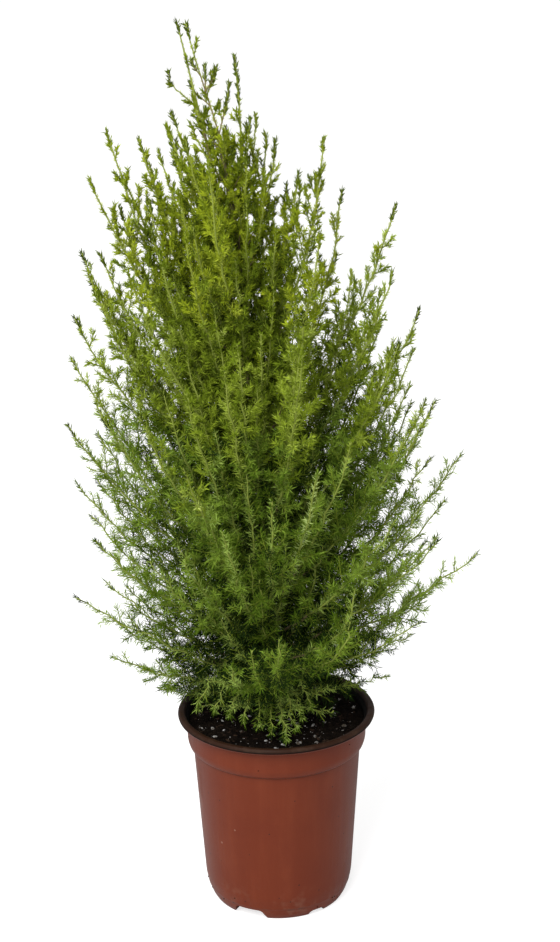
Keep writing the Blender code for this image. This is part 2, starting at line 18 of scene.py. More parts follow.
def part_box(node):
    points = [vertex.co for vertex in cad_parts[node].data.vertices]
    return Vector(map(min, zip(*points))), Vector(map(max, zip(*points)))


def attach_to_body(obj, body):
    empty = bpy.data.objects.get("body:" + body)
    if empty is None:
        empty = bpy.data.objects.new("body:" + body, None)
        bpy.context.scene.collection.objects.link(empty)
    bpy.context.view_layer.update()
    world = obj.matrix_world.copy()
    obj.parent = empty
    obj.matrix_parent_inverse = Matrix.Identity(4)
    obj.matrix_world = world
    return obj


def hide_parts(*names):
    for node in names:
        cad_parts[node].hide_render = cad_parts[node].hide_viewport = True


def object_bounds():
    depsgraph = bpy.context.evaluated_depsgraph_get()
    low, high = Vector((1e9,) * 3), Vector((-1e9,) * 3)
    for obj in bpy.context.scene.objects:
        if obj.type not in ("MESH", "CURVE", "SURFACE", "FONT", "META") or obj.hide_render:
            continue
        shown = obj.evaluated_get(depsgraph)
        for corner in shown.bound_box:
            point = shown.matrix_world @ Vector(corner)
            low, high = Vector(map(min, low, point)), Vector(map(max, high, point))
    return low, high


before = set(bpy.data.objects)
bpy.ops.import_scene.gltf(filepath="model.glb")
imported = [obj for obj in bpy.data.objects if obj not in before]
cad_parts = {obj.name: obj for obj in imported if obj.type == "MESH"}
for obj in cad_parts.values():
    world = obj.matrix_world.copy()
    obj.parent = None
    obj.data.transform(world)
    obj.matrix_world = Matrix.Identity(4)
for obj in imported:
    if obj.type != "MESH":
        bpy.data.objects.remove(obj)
cad_low, cad_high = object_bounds()

# %% [markdown]
# Every size starts from the plain model. A node's box gives the rim's radius, the height
# of the pot and the level of the potting mix, so the dressed plant can't drift away from
# the shapes that it stands for. The few sizes that a box can't show are named beside it.

# %% Sizes read from the model
_, pot_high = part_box("pot")
_, soil_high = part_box("soil")
trunk_low, trunk_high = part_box("trunk")
POT_HEIGHT = pot_high.z
RIM_RADIUS = pot_high.x
SOIL_TOP = soil_high.z
SOIL_DOME = 0.0022
SOIL_EDGE = SOIL_TOP - SOIL_DOME
TRUNK_BASE = trunk_low.z
TRUNK_TOP = trunk_high.z

# %% New objects
def placed(name, data):
    """A new object in the scene that holds some data."""
    piece = bpy.data.objects.new(name, data)
    bpy.context.scene.collection.objects.link(piece)
    return piece


# %% [markdown]
# The camera stands a little over one and a half metres away and looks down on the plant
# at eighteen degrees, as a person does who stands before a table. A long lens keeps the
# pot's sides nearly straight. The small roll is the tilt of the hand that held it.

# %% Camera
CAMERA_DISTANCE = 1.65
CAMERA_PITCH = 0.32318703
CAMERA_ROLL = 0.0158996
FOCAL_PIXELS = 2049.45
PICTURE_HEIGHT = 942
SENSOR_WIDTH = 36.0
FARTHEST_SEEN = 60.0
AIM_POINT = Vector((0.0063354, 0.0, 0.376922))


def add_camera():
    forward = Vector((0, math.cos(CAMERA_PITCH), -math.sin(CAMERA_PITCH)))
    right = Vector((1, 0, 0))
    up = right.cross(forward)
    place = Matrix((right, up, -forward)).transposed().to_4x4()
    place = place @ Matrix.Rotation(-CAMERA_ROLL, 4, "Z")
    place.translation = AIM_POINT - CAMERA_DISTANCE * forward
    camera = placed("camera", bpy.data.cameras.new("camera"))
    camera.matrix_world = place
    camera.data.sensor_width = SENSOR_WIDTH
    camera.data.lens = FOCAL_PIXELS * SENSOR_WIDTH / PICTURE_HEIGHT
    camera.data.clip_end = FARTHEST_SEEN
    bpy.context.scene.camera = camera


add_camera()

# %% [markdown]
# A mesh can be written in one go from arrays of corners and faces. That is far quicker
# than adding corners one by one, which matters once there are hundreds of thousands.

# %% Meshes from arrays
def add_mesh(name, corners, face_groups, *materials):
    """Make an object from corners and from arrays of faces, each with its own side count."""
    mesh = bpy.data.meshes.new(name)
    mesh.vertices.add(len(corners))
    mesh.vertices.foreach_set("co", np.ascontiguousarray(corners, np.float32).ravel())
    loops = np.concatenate([faces.ravel() for faces in face_groups]).astype(np.int32)
    sides = np.concatenate([np.full(len(faces), faces.shape[1]) for faces in face_groups])
    starts = (np.cumsum(sides) - sides).astype(np.int32)
    mesh.loops.add(len(loops))
    mesh.loops.foreach_set("vertex_index", loops)
    mesh.polygons.add(len(sides))
    mesh.polygons.foreach_set("loop_start", starts)
    mesh.update(calc_edges=True)
    mesh.shade_smooth()
    for material in materials:
        mesh.materials.append(material)
    return placed(name, mesh)


def unit(vectors):
    return vectors / np.maximum(np.linalg.norm(vectors, axis=-1, keepdims=True), 1e-12)


def square_to(along):
    """A direction at right angles to each given direction."""
    helper = np.where(np.abs(along[..., 2:3]) < 0.9, [0.0, 0.0, 1.0], [1.0, 0.0, 0.0])
    return unit(np.cross(along, helper))


def turned_about(along, across, angle):
    """Directions at right angles to along, turned from across by an angle."""
    angle = np.asarray(angle)[..., None]
    return across * np.cos(angle) + np.cross(along, across) * np.sin(angle)


def lean_out(along, roll, angle):
    """Directions that lean away from along by an angle, to the side that roll says."""
    aside = turned_about(along, square_to(along), roll)
    return along * np.cos(angle)[:, None] + aside * np.sin(angle)[:, None]


def between(ends, share):
    return ends[0] + (ends[1] - ends[0]) * share


def tubes(paths, radii, sides):
    """Corners and faces of closed round limbs along many paths of equal step count."""
    along = unit(np.gradient(paths, axis=1))
    across = square_to(along[:, :1]) * np.ones_like(along)
    across = unit(across - along * (across * along).sum(-1, keepdims=True))
    angles = 2 * math.pi * np.arange(sides) / sides
    ring = across[:, :, None] * np.cos(angles)[:, None]
    ring = ring + np.cross(along, across)[:, :, None] * np.sin(angles)[:, None]
    corners = paths[:, :, None] + radii[:, :, None, None] * ring
    many, steps = paths.shape[:2]
    number = np.arange(many * steps * sides).reshape(many, steps, sides)
    lower, upper = number[:, :-1], number[:, 1:]
    walls = np.stack([lower, np.roll(lower, -1, 2), np.roll(upper, -1, 2), upper], -1)
    return corners.reshape(-1, 3), [walls.reshape(-1, 4), number[:, 0, ::-1], number[:, -1]]


# %% [markdown]
# The trunk is one slim pole. It starts a few millimetres behind the pot's centre, sways,
# and sweeps to the left near its top. Its radius falls evenly, and it flares out over the
# last centimetre above the potting mix. Other pieces need its centre and its radius at
# any height, so both are functions.

# %% The trunk's line
TRUNK_FOOT = np.array([-0.003, 0.004])
TRUNK_LEAN = 0.010
TRUNK_SWEEP = 0.023
TRUNK_SWAY = 0.003
TRUNK_RADIUS = 0.0062
TRUNK_TIP_RADIUS = 0.0023
ROOT_FLARE = 0.0050
FLARE_HEIGHT = 0.011


def trunk_centre(height):
    share = (np.asarray(height, float) - TRUNK_BASE) / (TRUNK_TOP - TRUNK_BASE)
    across = TRUNK_FOOT[0] - TRUNK_LEAN * share - TRUNK_SWEEP * np.maximum(share, 0) ** 3
    away = TRUNK_FOOT[1] * (1 - share) + TRUNK_SWAY * np.sin(math.pi * 1.5 * share)
    return np.stack([across, away, np.asarray(height, float)], -1)


def trunk_radius(height):
    share = (np.asarray(height, float) - TRUNK_BASE) / (TRUNK_TOP - TRUNK_BASE)
    flare = ROOT_FLARE * np.exp(-(height - TRUNK_BASE) / FLARE_HEIGHT)
    return TRUNK_RADIUS + (TRUNK_TIP_RADIUS - TRUNK_RADIUS) * share + flare


# %% [markdown]
# Every shoot follows one rule. It leaves the trunk at a height that depends on its tip,
# bends up by the same angle, and ends at that tip. The tips at the left, the right and
# the top were measured on the plant. The others go round the front and the back by the
# golden angle, and one that would touch a neighbour is swung aside.

# %% Where the shoots end
LEADER_TIP = (-0.067, 0.000, 0.739)
SECOND_LEADER_TIP = (-0.023, -0.006, 0.708)
LEFT_SHOOTS = (
    (0.200, 0.090), (0.236, 0.129), (0.279, 0.161), (0.362, 0.160), (0.425, 0.160),
    (0.467, 0.159), (0.512, 0.151), (0.553, 0.147), (0.620, 0.134), (0.649, 0.124),
)
RIGHT_SHOOTS = (
    (0.205, 0.092), (0.262, 0.131), (0.312, 0.164), (0.381, 0.154), (0.440, 0.129),
    (0.503, 0.119), (0.545, 0.095), (0.587, 0.100), (0.648, 0.043),
)
TOP_SHOOTS = ((0.697, -0.073), (0.656, -0.076), (0.662, -0.008))
SIDE_WOBBLE = 0.022
TOP_WOBBLE = 0.009
CROWN_HEIGHTS = (0.190, 0.240, 0.300, 0.420, 0.500, 0.580, 0.670)
CROWN_REACHES = (0.090, 0.125, 0.148, 0.146, 0.128, 0.104, 0.062)
ROUND_SHOOTS = 17
ROUND_HEIGHTS = (0.235, 0.668)
GOLDEN_ANGLE = math.radians(137.508)
SIDE_ARC = math.radians(20)
SKIRT_ANGLES = np.radians((58, 122, 204, 232, 262, 291, 322))
SKIRT_REACH = 0.064
SKIRT_HEIGHTS = (0.181, 0.192)

# %% One shoot's path
ATTACH_RISE = 0.022
ATTACH_CURVE = 1.15
LEAST_RISE = 0.004
STEEPEST_RISE = 2.6
SHOOT_BEND = math.radians(13)
SHOOT_STEPS = 16
CLEAR_OF_TRUNK = 0.0003
LEADER_SHARE = 0.965
LEADER_START = (-0.0290, 0.000, 0.565)
LEADER_WAY = ((-0.0370, 0.000, 0.602), (-0.0560, 0.000, 0.690))


def bezier(start, first, second, end):
    share = np.linspace(0, 1, SHOOT_STEPS + 1)[:, None]
    rest = 1 - share
    near = start * rest ** 3 + first * (3 * rest * rest * share)
    return near + second * (3 * rest * share * share) + end * share ** 3


def shortened(path, share):
    """The first share of a path, in as many steps."""
    place = np.linspace(0, share, len(path)) * (len(path) - 1)
    step = np.minimum(place.astype(int), len(path) - 2)
    return path[step] + (path[step + 1] - path[step]) * (place - step)[:, None]


def shoot_path(tip, steepest=STEEPEST_RISE):
    """A gentle arc that leaves the trunk outward and turns up toward the tip."""
    tip = np.array(tip, float)
    reach = math.hypot(*(tip - trunk_centre(min(tip[2], TRUNK_TOP)))[:2])
    attach = TRUNK_BASE + ATTACH_RISE + ATTACH_CURVE * (tip[2] - TRUNK_BASE) ** 2
    attach = min(max(attach, tip[2] - steepest * reach), tip[2] - LEAST_RISE)
    centre = trunk_centre(attach)
    outward = unit((tip - centre) * [1, 1, 0])
    start = centre + outward * (trunk_radius(attach) + CLEAR_OF_TRUNK)
    chord = tip - start
    steep = math.atan2(math.hypot(chord[0], chord[1]), chord[2])
    third = np.linalg.norm(chord) / 3
    up = np.array([0.0, 0.0, 1.0])
    leaving = outward * math.sin(steep + SHOOT_BEND) + up * math.cos(steep + SHOOT_BEND)
    arriving = outward * math.sin(steep - SHOOT_BEND) + up * math.cos(steep - SHOOT_BEND)
    return bezier(start, start + leaving * third, tip - arriving * third, tip)


def leader_path():
    """The highest stem, which leaves the trunk a little below its top and leans left."""
    path = bezier(*map(np.array, (LEADER_START, *LEADER_WAY, LEADER_TIP)))
    return shortened(path, LEADER_SHARE)


# %% Room between the shoots
SHOOT_CLEARANCE = 0.0075
CROWDED_STEPS = 4
CROWDED_CLEARANCE = 0.0050
SWING_STEP = math.radians(4)
SWING_TRIES = 16


def distances(points, path):
    """Distance from each point to a path."""
    starts = path[:-1]
    steps = path[1:] - starts
    offsets = points[:, None] - starts[None]
    shares = np.einsum("psk,sk->ps", offsets, steps) / np.einsum("sk,sk->s", steps, steps)
    shares = np.clip(shares, 0, 1)
    return np.linalg.norm(offsets - shares[..., None] * steps[None], axis=2).min(axis=1)


def is_clear(path, others, clearance, crowded):
    for other in others:
        space = distances(path, other)
        if space[:CROWDED_STEPS].min() < crowded or space[CROWDED_STEPS:].min() < clearance:
            return False
    return True


def swung_path(reach, height, angle, others, clearance=SHOOT_CLEARANCE, crowded=CROWDED_CLEARANCE):
    """A shoot at an angle about the trunk, swung aside until it passes clear of the others."""
    for swing in range(SWING_TRIES):
        side = 1 if swing % 2 else -1
        turned = angle + side * ((swing + 1) // 2) * SWING_STEP
        out = np.array([math.cos(turned), math.sin(turned), 0]) * reach
        path = shoot_path(trunk_centre(height) + out)
        if is_clear(path, others, clearance, crowded):
            return path
    return None


def outline_reach(height):
    return np.interp(height, CROWN_HEIGHTS, CROWN_REACHES)


# %% Every shoot of the plain model
def plan_shoots():
    """Node names and paths, in the order in which they look for room."""
    plan = {"second_leader": shoot_path(SECOND_LEADER_TIP)}
    for side_name, side, rows in (("left", -1, LEFT_SHOOTS), ("right", 1, RIGHT_SHOOTS)):
        for number, (height, reach) in enumerate(rows):
            wobble = SIDE_WOBBLE * (1 if number % 2 else -1)
            plan[f"{side_name}_plume_{number + 1:02d}"] = shoot_path((side * reach, wobble, height))
    for number, (height, across) in enumerate(TOP_SHOOTS):
        plan[f"top_plume_{number + 1:02d}"] = shoot_path((across, TOP_WOBBLE * (number - 1), height))
    for number, angle in enumerate(SKIRT_ANGLES):
        path = swung_path(SKIRT_REACH, SKIRT_HEIGHTS[number % 2], angle, list(plan.values()))
        if path is not None:
            plan[f"skirt_plume_{number + 1:02d}"] = path
    for number in range(ROUND_SHOOTS):
        height = between(ROUND_HEIGHTS, number / (ROUND_SHOOTS - 1))
        turn = (number * GOLDEN_ANGLE) % (2 * math.pi)
        half = SIDE_ARC + (turn % math.pi) * (math.pi - 2 * SIDE_ARC) / math.pi
        angle = half if turn < math.pi else half + math.pi
        side = "back" if angle < math.pi else "front"
        path = swung_path(outline_reach(height), height, angle, list(plan.values()))
        if path is not None:
            plan[f"{side}_plume_{number + 1:02d}"] = path
    plan["leader_plume"] = leader_path()
    return plan


plan = plan_shoots()
print(len(plan), "shoots of the plain model")

# %% [markdown]
# Between the long shoots at the left and the right the real plant has others that end
# almost as far out. Their tips were measured as well, as a height and a reach. Each starts
# in the middle of the crown's depth, and moves to the front or the back until it has room.

# %% Second row of shoots at the left and the right
MORE_LEFT = (
    (0.186, 0.098), (0.204, 0.116), (0.222, 0.131), (0.248, 0.112), (0.285, 0.136),
    (0.319, 0.146), (0.341, 0.148), (0.388, 0.142), (0.411, 0.140), (0.436, 0.140),
    (0.514, 0.132), (0.556, 0.130), (0.618, 0.112), (0.648, 0.098), (0.595, 0.115),
    (0.632, 0.092), (0.245, 0.123), (0.373, 0.142), (0.228, 0.104), (0.545, 0.142),
    (0.528, 0.136), (0.422, 0.130), (0.278, 0.124), (0.257, 0.119), (0.239, 0.109),
)
MORE_RIGHT = (
    (0.234, 0.112), (0.248, 0.118), (0.277, 0.131), (0.320, 0.133), (0.350, 0.140),
    (0.356, 0.128), (0.386, 0.127), (0.400, 0.116), (0.414, 0.121), (0.435, 0.124),
    (0.462, 0.083), (0.476, 0.113), (0.478, 0.096), (0.502, 0.088), (0.526, 0.088),
    (0.541, 0.065), (0.605, 0.058), (0.447, 0.110), (0.434, 0.114), (0.425, 0.104),
    (0.442, 0.104), (0.423, 0.095), (0.517, 0.081), (0.410, 0.107), (0.458, 0.090),
    (0.468, 0.071), (0.314, 0.128), (0.293, 0.107), (0.478, 0.099), (0.436, 0.116),
    (0.357, 0.111), (0.342, 0.121), (0.316, 0.130), (0.613, 0.025),
)
DEPTHS = (0.008, -0.008, 0.020, -0.020, 0.034, -0.034, 0.048, -0.048)
SECOND_ROW_CLEARANCE = 0.0044
CLOSE_TO_TRUNK = 0.003


def measured_row(tips, depths, taken, clearance, crowded, steepest=STEEPEST_RISE):
    """Shoots to tips of (height, across), each at the first of the depths that has room."""
    row = []
    for height, across in tips:
        for depth in depths:
            level = height - depth * math.tan(CAMERA_PITCH)
            path = shoot_path((across, depth, level), steepest)
            if is_clear(path, taken + row, clearance, crowded):
                row.append(path)
                break
    return row


# %% [markdown]
# The front and the back get a second row too. Nobody can measure tips there, so they
# follow the crown's outline, at a share of its reach that changes from shoot to shoot.
# The plain model can only afford the shoots that give the crown its outline, but the real
# plant is full inside as well. So shorter shoots fill the space round the trunk by the
# same rule, and end well inside the outline.

# %% Shoots at the front, at the back and inside
GOLDEN_SHARE = 0.618
DEPTH_SHOOTS = 40
DEPTH_HEIGHTS = (0.205, 0.600)
DEPTH_REACH = (0.720, 0.855)
DEPTH_ARC = math.radians(110)
ARC_SHARE = 0.414
INNER_SHOOTS = 100
INNER_HEIGHTS = (0.192, 0.655)
INNER_REACH = (0.22, 0.80)
INNER_CLEARANCE = 0.0040


def swung_row(places, taken, clearance, crowded=CLOSE_TO_TRUNK):
    """Shoots at places of (reach, height, angle), without those that find no room."""
    row = []
    for place in places:
        path = swung_path(*place, taken + row, clearance, crowded)
        if path is not None:
            row.append(path)
    return row


def depth_places():
    for number in range(DEPTH_SHOOTS):
        height = between(DEPTH_HEIGHTS, number / (DEPTH_SHOOTS - 1))
        share = between(DEPTH_REACH, number * GOLDEN_SHARE % 1)
        turn = math.pi / 2 + DEPTH_ARC * (number * ARC_SHARE % 1 - 0.5)
        yield outline_reach(height) * share, height, turn if number % 2 else -turn


def inner_places():
    for number in range(INNER_SHOOTS):
        height = between(INNER_HEIGHTS, number / (INNER_SHOOTS - 1))
        share = between(INNER_REACH, number * GOLDEN_SHARE % 1)
        yield outline_reach(height) * share, height, (number + 0.5) * GOLDEN_ANGLE


# %% [markdown]
# The low shoots at the front grow almost straight toward the reader. The real ones turn
# up at their ends, so they show their sides.

# %% Low front shoots that turn up
UPTURN_DEPTH = -0.070
UPTURN_HEIGHT = 0.330
UPTURN_FIRST = (0.45, 0.45, 0.20)
UPTURN_RISE = 0.45


def upturned(path):
    """A low front shoot with its ends kept, and its outer half turned up."""
    start, tip = path[0], path[-1]
    if tip[1] > UPTURN_DEPTH or tip[2] > UPTURN_HEIGHT:
        return path
    rise = np.array([0.0, 0.0, (tip[2] - start[2]) * UPTURN_RISE])
    return bezier(start, start + (tip - start) * UPTURN_FIRST, tip - rise, tip)


# %% [markdown]
# Thin shoots crowd round the leaders. Some rise from the trunk beside them. The trunk's
# own top runs on as a twin of the leader, almost to its tip, and small plumes fork off it.

# %% Thin shoots beside the leaders
MORE_TOP = (
    (0.665, -0.072), (0.654, -0.075), (0.637, -0.073), (0.677, -0.055), (0.666, -0.049),
    (0.657, -0.012), (0.644, 0.007), (0.635, -0.007), (0.618, 0.024), (0.640, -0.026),
    (0.625, -0.050), (0.650, -0.064), (0.656, -0.057),
)
TOP_DEPTHS = (0.0, 0.009, -0.009, 0.018, -0.018, 0.027, -0.027)
TOP_CLEARANCE = 0.0042
TOP_STEEPEST = 2.1
CLOSE_AT_TOP = 0.002
TWIN_WAY = ((-0.0400, 0.003, 0.665), (-0.0540, 0.003, 0.705), (-0.0590, 0.004, 0.731))
TWIN_FORKS = (
    (0.45, (-0.0460, 0.006, 0.700)),
    (0.45, (-0.0370, -0.004, 0.700)),
    (0.03, (-0.0280, 0.003, 0.687)),
    (0.55, (-0.0555, 0.000, 0.705)),
    (0.30, (-0.0570, 0.003, 0.688)),
)
TOP_PLUME_FORK = 0.62
FORK_STRAIGHT = 0.35


def fork_path(leader, share, tip):
    """A shoot that leaves the leader part way up and turns up to its own tip."""
    start = leader[int(round(share * SHOOT_STEPS))]
    chord = np.array(tip) - start
    up = np.array([0.0, 0.0, np.linalg.norm(chord) / 3])
    return bezier(start, start + chord * FORK_STRAIGHT, np.array(tip) - up, np.array(tip))


# %% [markdown]
# Short shoots low on the trunk hang over the potting mix. The plain model has a few of
# them, and here more fill the gaps between those. They crowd at the front left, and leave
# the mix open at the front right.

# %% Short shoots over the potting mix
LOW_SHOOTS = 40
LOW_HEIGHTS = (0.174, 0.262)
LOW_REACH = (0.030, 0.076)
LOW_CLEARANCE = 0.0038
LOW_OPEN_HEIGHT = 0.215
LOW_OPEN_ARC = (math.radians(-62), math.radians(2))
LOW_TIPS = (
    (0.008, -0.062, 0.167), (-0.004, -0.057, 0.171), (0.014, -0.053, 0.173),
    (-0.015, -0.052, 0.174), (0.004, -0.049, 0.178), (0.021, -0.046, 0.179),
    (-0.026, -0.047, 0.176), (-0.038, -0.042, 0.180), (-0.051, -0.034, 0.180),
    (-0.010, -0.042, 0.184), (-0.066, -0.026, 0.179), (0.028, -0.036, 0.184),
    (0.012, -0.038, 0.188), (-0.026, -0.034, 0.188),
)
DROOP_STARTS = (0.034, 0.016, 0.046, 0.026)
DROOP_FIRST = (0.45, 0.45, 0)
DROOP_RISE = 0.012
DROOP_FALL = 0.012


def drooping_path(tip, rise):
    """A weak low shoot that leaves the trunk upward and nods over the potting mix."""
    tip = np.array(tip)
    start = trunk_centre(tip[2] + rise)
    first = start + (tip - start) * DROOP_FIRST + [0, 0, DROOP_RISE]
    return bezier(start, first, tip + [0, 0, DROOP_FALL], tip)


def low_places():
    for number in range(LOW_SHOOTS):
        height = between(LOW_HEIGHTS, number / (LOW_SHOOTS - 1))
        angle = -math.pi / 2 + number * GOLDEN_ANGLE
        way = math.remainder(angle, 2 * math.pi)
        if height > LOW_OPEN_HEIGHT or not LOW_OPEN_ARC[0] < way < LOW_OPEN_ARC[1]:
            yield between(LOW_REACH, number * GOLDEN_SHARE % 1), height, angle


def plan_low_shoots(taken):
    low = [
        drooping_path(tip, DROOP_STARTS[number % len(DROOP_STARTS)])
        for number, tip in enumerate(LOW_TIPS)
    ]
    return low + swung_row(low_places(), taken + low, LOW_CLEARANCE, CLOSE_AT_TOP)


# %% [markdown]
# High in the crown the trunk is young wood that carries sprays of its own, so its upper
# half joins the list as one more shoot. It has no tip there, as the leader carries on
# from it, so its sprays are measured from the leader's tip.

# %% All the shoots together
BARE_TRUNK = 0.24
BACK_TOP_SHARE = 0.84
SECOND_LEADER_LEAVES = 0.590
SECOND_LEADER_WAY = ((-0.0175, -0.004, 0.606), (-0.0185, -0.006, 0.668))
ZIGZAG = 0.0011
ZIGZAG_TOP_SHARE = 0.45
ZIGZAG_HEIGHTS = (0.34, 0.60)
ZIGZAG_SEED = 5


def young_trunk():
    return trunk_centre(np.linspace(BARE_TRUNK, TRUNK_TOP, SHOOT_STEPS + 1))


def second_leader_path():
    """The second leader runs up beside the trunk's last stretch, almost upright."""
    start = trunk_centre(SECOND_LEADER_LEAVES) + [trunk_radius(SECOND_LEADER_LEAVES), 0, 0]
    return bezier(start, *map(np.array, SECOND_LEADER_WAY), np.array(SECOND_LEADER_TIP))


def zigzag(paths):
    """The paths with their inner points a little to one side or the other, less up high."""
    swing = np.random.default_rng(ZIGZAG_SEED).normal(0, ZIGZAG, paths.shape)
    swing[:, [0, -1]] = 0
    high = np.clip((paths[..., 2:] - ZIGZAG_HEIGHTS[0]) / np.ptp(ZIGZAG_HEIGHTS), 0, 1)
    return paths + swing * (1 - (1 - ZIGZAG_TOP_SHARE) * high)


plan["second_leader"] = second_leader_path()
taken = list(plan.values())
top_row = measured_row(MORE_TOP, TOP_DEPTHS, taken, TOP_CLEARANCE, CLOSE_AT_TOP, TOP_STEEPEST)
plan["top_plume_01"] = fork_path(plan["leader_plume"], TOP_PLUME_FORK, plan["top_plume_01"][-1])
plan["back_plume_17"] = shortened(plan["back_plume_17"], BACK_TOP_SHARE)
twin = bezier(trunk_centre(TRUNK_TOP), *map(np.array, TWIN_WAY))
forks = [twin] + [fork_path(twin, share, tip) for share, tip in TWIN_FORKS]
taken = list(plan.values()) + top_row
side_tips = [(height, -reach) for height, reach in MORE_LEFT] + list(MORE_RIGHT)
second_row = measured_row(side_tips, DEPTHS, taken, SECOND_ROW_CLEARANCE, CLOSE_TO_TRUNK)
plan = {name: upturned(path) for name, path in plan.items()}
taken = list(plan.values()) + top_row + second_row
depth_row = swung_row(depth_places(), taken, SECOND_ROW_CLEARANCE)
second_row += [upturned(path) for path in depth_row]
taken = list(plan.values()) + top_row + second_row
inner_paths = swung_row(inner_places(), taken, INNER_CLEARANCE)
low_paths = plan_low_shoots(list(plan.values()) + second_row + inner_paths)
rows = top_row + second_row + inner_paths + low_paths + forks
shoots = np.array(list(plan.values()) + rows + [young_trunk()])
shoot_lengths = np.linalg.norm(np.diff(shoots, axis=1), axis=2).sum(axis=1)
shoot_tips = shoots[:, -1].copy()
shoot_tips[-1] = LEADER_TIP
beyond_end = np.linalg.norm(shoot_tips - shoots[:, -1], axis=1)
leader, second_leader = (list(plan).index(name) for name in ("leader_plume", "second_leader"))
first_fork = len(shoots) - 1 - len(forks)
first_low = first_fork - len(low_paths)
leaders = np.zeros(len(shoots), bool)
leaders[[leader, second_leader, -1]] = True
leaders[first_fork:-1] = True
nodding = np.zeros(len(shoots), bool)
nodding[first_low:first_low + len(LOW_TIPS)] = True
shoots[~leaders] = zigzag(shoots[~leaders])
print(len(shoots), "shoots in all,", round(shoot_lengths.sum(), 1), "metres of stem")

# %% [markdown]
# Side sprays leave a stem by the golden angle, so they never stack above each other. One
# function makes them for every order of twig: a root, a direction that leans away from
# its parent, and a slight bend back toward it. It works on whole arrays, because there
# are thousands.

# %% Points along many paths
def at(paths, which, share):
    """Points and directions on chosen paths at a share of their steps."""
    steps = paths.shape[1] - 1
    place = np.clip(share, 0, 1) * steps
    step = np.minimum(place.astype(int), steps - 1)
    low, high = paths[which, step], paths[which, step + 1]
    points = low + (high - low) * (place - step)[:, None]
    before = paths[which, np.maximum(step - 1, 0)]
    after = paths[which, np.minimum(step + 2, steps)]
    return points, unit(after - before)


def side_paths(roots, along, roll, angle, lengths, lift, steps):
    """Paths that leave their parents at an angle and bend back toward the parent's way."""
    share = np.linspace(0, 1, steps + 1)[None, :, None]
    leaning = lean_out(along, roll, angle)[:, None] * share
    bend = leaning + along[:, None] * lift * share ** 2
    return roots[:, None] + lengths[:, None, None] * bend


def spread_along(lengths, first, last, spacing):
    """For each length, evenly spaced shares between first and last: owner, share, number."""
    counts = np.maximum(np.round(lengths * (last - first) / spacing).astype(int), 1)
    owner = np.repeat(np.arange(len(lengths)), counts)
    number = np.arange(counts.sum()) - np.repeat(np.cumsum(counts) - counts, counts)
    share = first + (last - first) * (number + 0.5) / counts[owner]
    return owner, share, number


# %% [markdown]
# A spray has to keep to its place. It stays above the potting mix and the rim, it goes no
# higher or further out than its shoot's tip, and it stays nearer its own stem than any
# other, give or take a few millimetres. The share of it that keeps these rules is what
# grows.

# %% The space that a spray may fill
SOIL_MARGIN = 0.0016
RIM_MARGIN = 0.004
POT_INSIDE = RIM_RADIUS - 0.0098
TIP_MARGIN = 0.002
STEEP_REACH = 0.05
STEEP_ALLOWANCE = 0.3
CELL_OVERLAP = 0.0050
BOX_MARGIN = 0.003
POINTS_AT_ONCE = 3000


def reach_limits():
    """For each shoot: its way outward and how far past its tip sprays may reach."""
    chord = shoot_tips - shoots[:, 0]
    reach = np.linalg.norm(chord[:, :2], axis=1)
    outward = np.concatenate([chord[:, :2] / reach[:, None], np.zeros((len(chord), 1))], 1)
    return outward, TIP_MARGIN + STEEP_ALLOWANCE * np.maximum(STEEP_REACH - reach, 0)


def keeps_to_bounds(points, owner):
    """True for points off the potting mix and the rim, and within their shoot's reach."""
    outward, beyond = reach_limits()
    past = points - shoot_tips[owner]
    fine = (past[:, 2] < TIP_MARGIN) | nodding[owner]
    fine &= (past * outward[owner]).sum(1) < beyond[owner]
    fine &= points[:, 2] > SOIL_TOP + SOIL_MARGIN
    over_rim = np.hypot(points[:, 0], points[:, 1]) > POT_INSIDE - RIM_MARGIN
    fine &= ~(over_rim & (points[:, 2] < POT_HEIGHT + RIM_MARGIN))
    low, high = np.array(cad_low) - BOX_MARGIN, np.array(cad_high) + BOX_MARGIN
    return fine & (points > low).all(1) & (points < high).all(1)


def keeps_to_cell(points, owner):
    """True for points that lie nearer their own stem than any other, within the overlap."""
    starts = shoots[:, :-1].reshape(-1, 3)
    steps = (shoots[:, 1:] - shoots[:, :-1]).reshape(-1, 3)
    squares = (steps ** 2).sum(1)
    fine = np.ones(len(points), bool)
    for first in range(0, len(points), POINTS_AT_ONCE):
        some = slice(first, first + POINTS_AT_ONCE)
        offsets = points[some, None] - starts
        shares = np.clip((offsets * steps).sum(2) / squares, 0, 1)
        space = np.linalg.norm(offsets - shares[..., None] * steps, axis=2)
        space = space.reshape(len(space), len(shoots), -1).min(2)
        own = space[np.arange(len(space)), owner[some]]
        space[np.arange(len(space)), owner[some]] = np.inf
        fine[some] = own < space.min(1) + CELL_OVERLAP
    return fine


def kept_share(paths, owner, use_cells):
    """The share of each path before it leaves its space."""
    steps = paths.shape[1] - 1
    points = paths[:, 1:].reshape(-1, 3)
    owners = np.repeat(owner, steps)
    fine = keeps_to_bounds(points, owners)
    if use_cells:
        fine &= keeps_to_cell(points, owners)
    return fine.reshape(-1, steps).cumprod(1).sum(1) / steps


def fitted(roots, along, roll, angle, lengths, lift, steps, stem, use_cells):
    """Side paths that are cut back to the space that they may fill, and their lengths."""
    aim = (roots, along, roll, angle)
    wanted = side_paths(*aim, lengths, lift, steps)
    lengths = lengths * kept_share(wanted, stem, use_cells)
    return side_paths(*aim, lengths, lift, steps), lengths


# %% [markdown]
# First the sprays along each stem. They are longest near the trunk and get shorter toward
# the tip. Then each spray carries twigs in the same way, and those near its end are the
# shortest. All random choices come from one seeded source, so each run is the same.

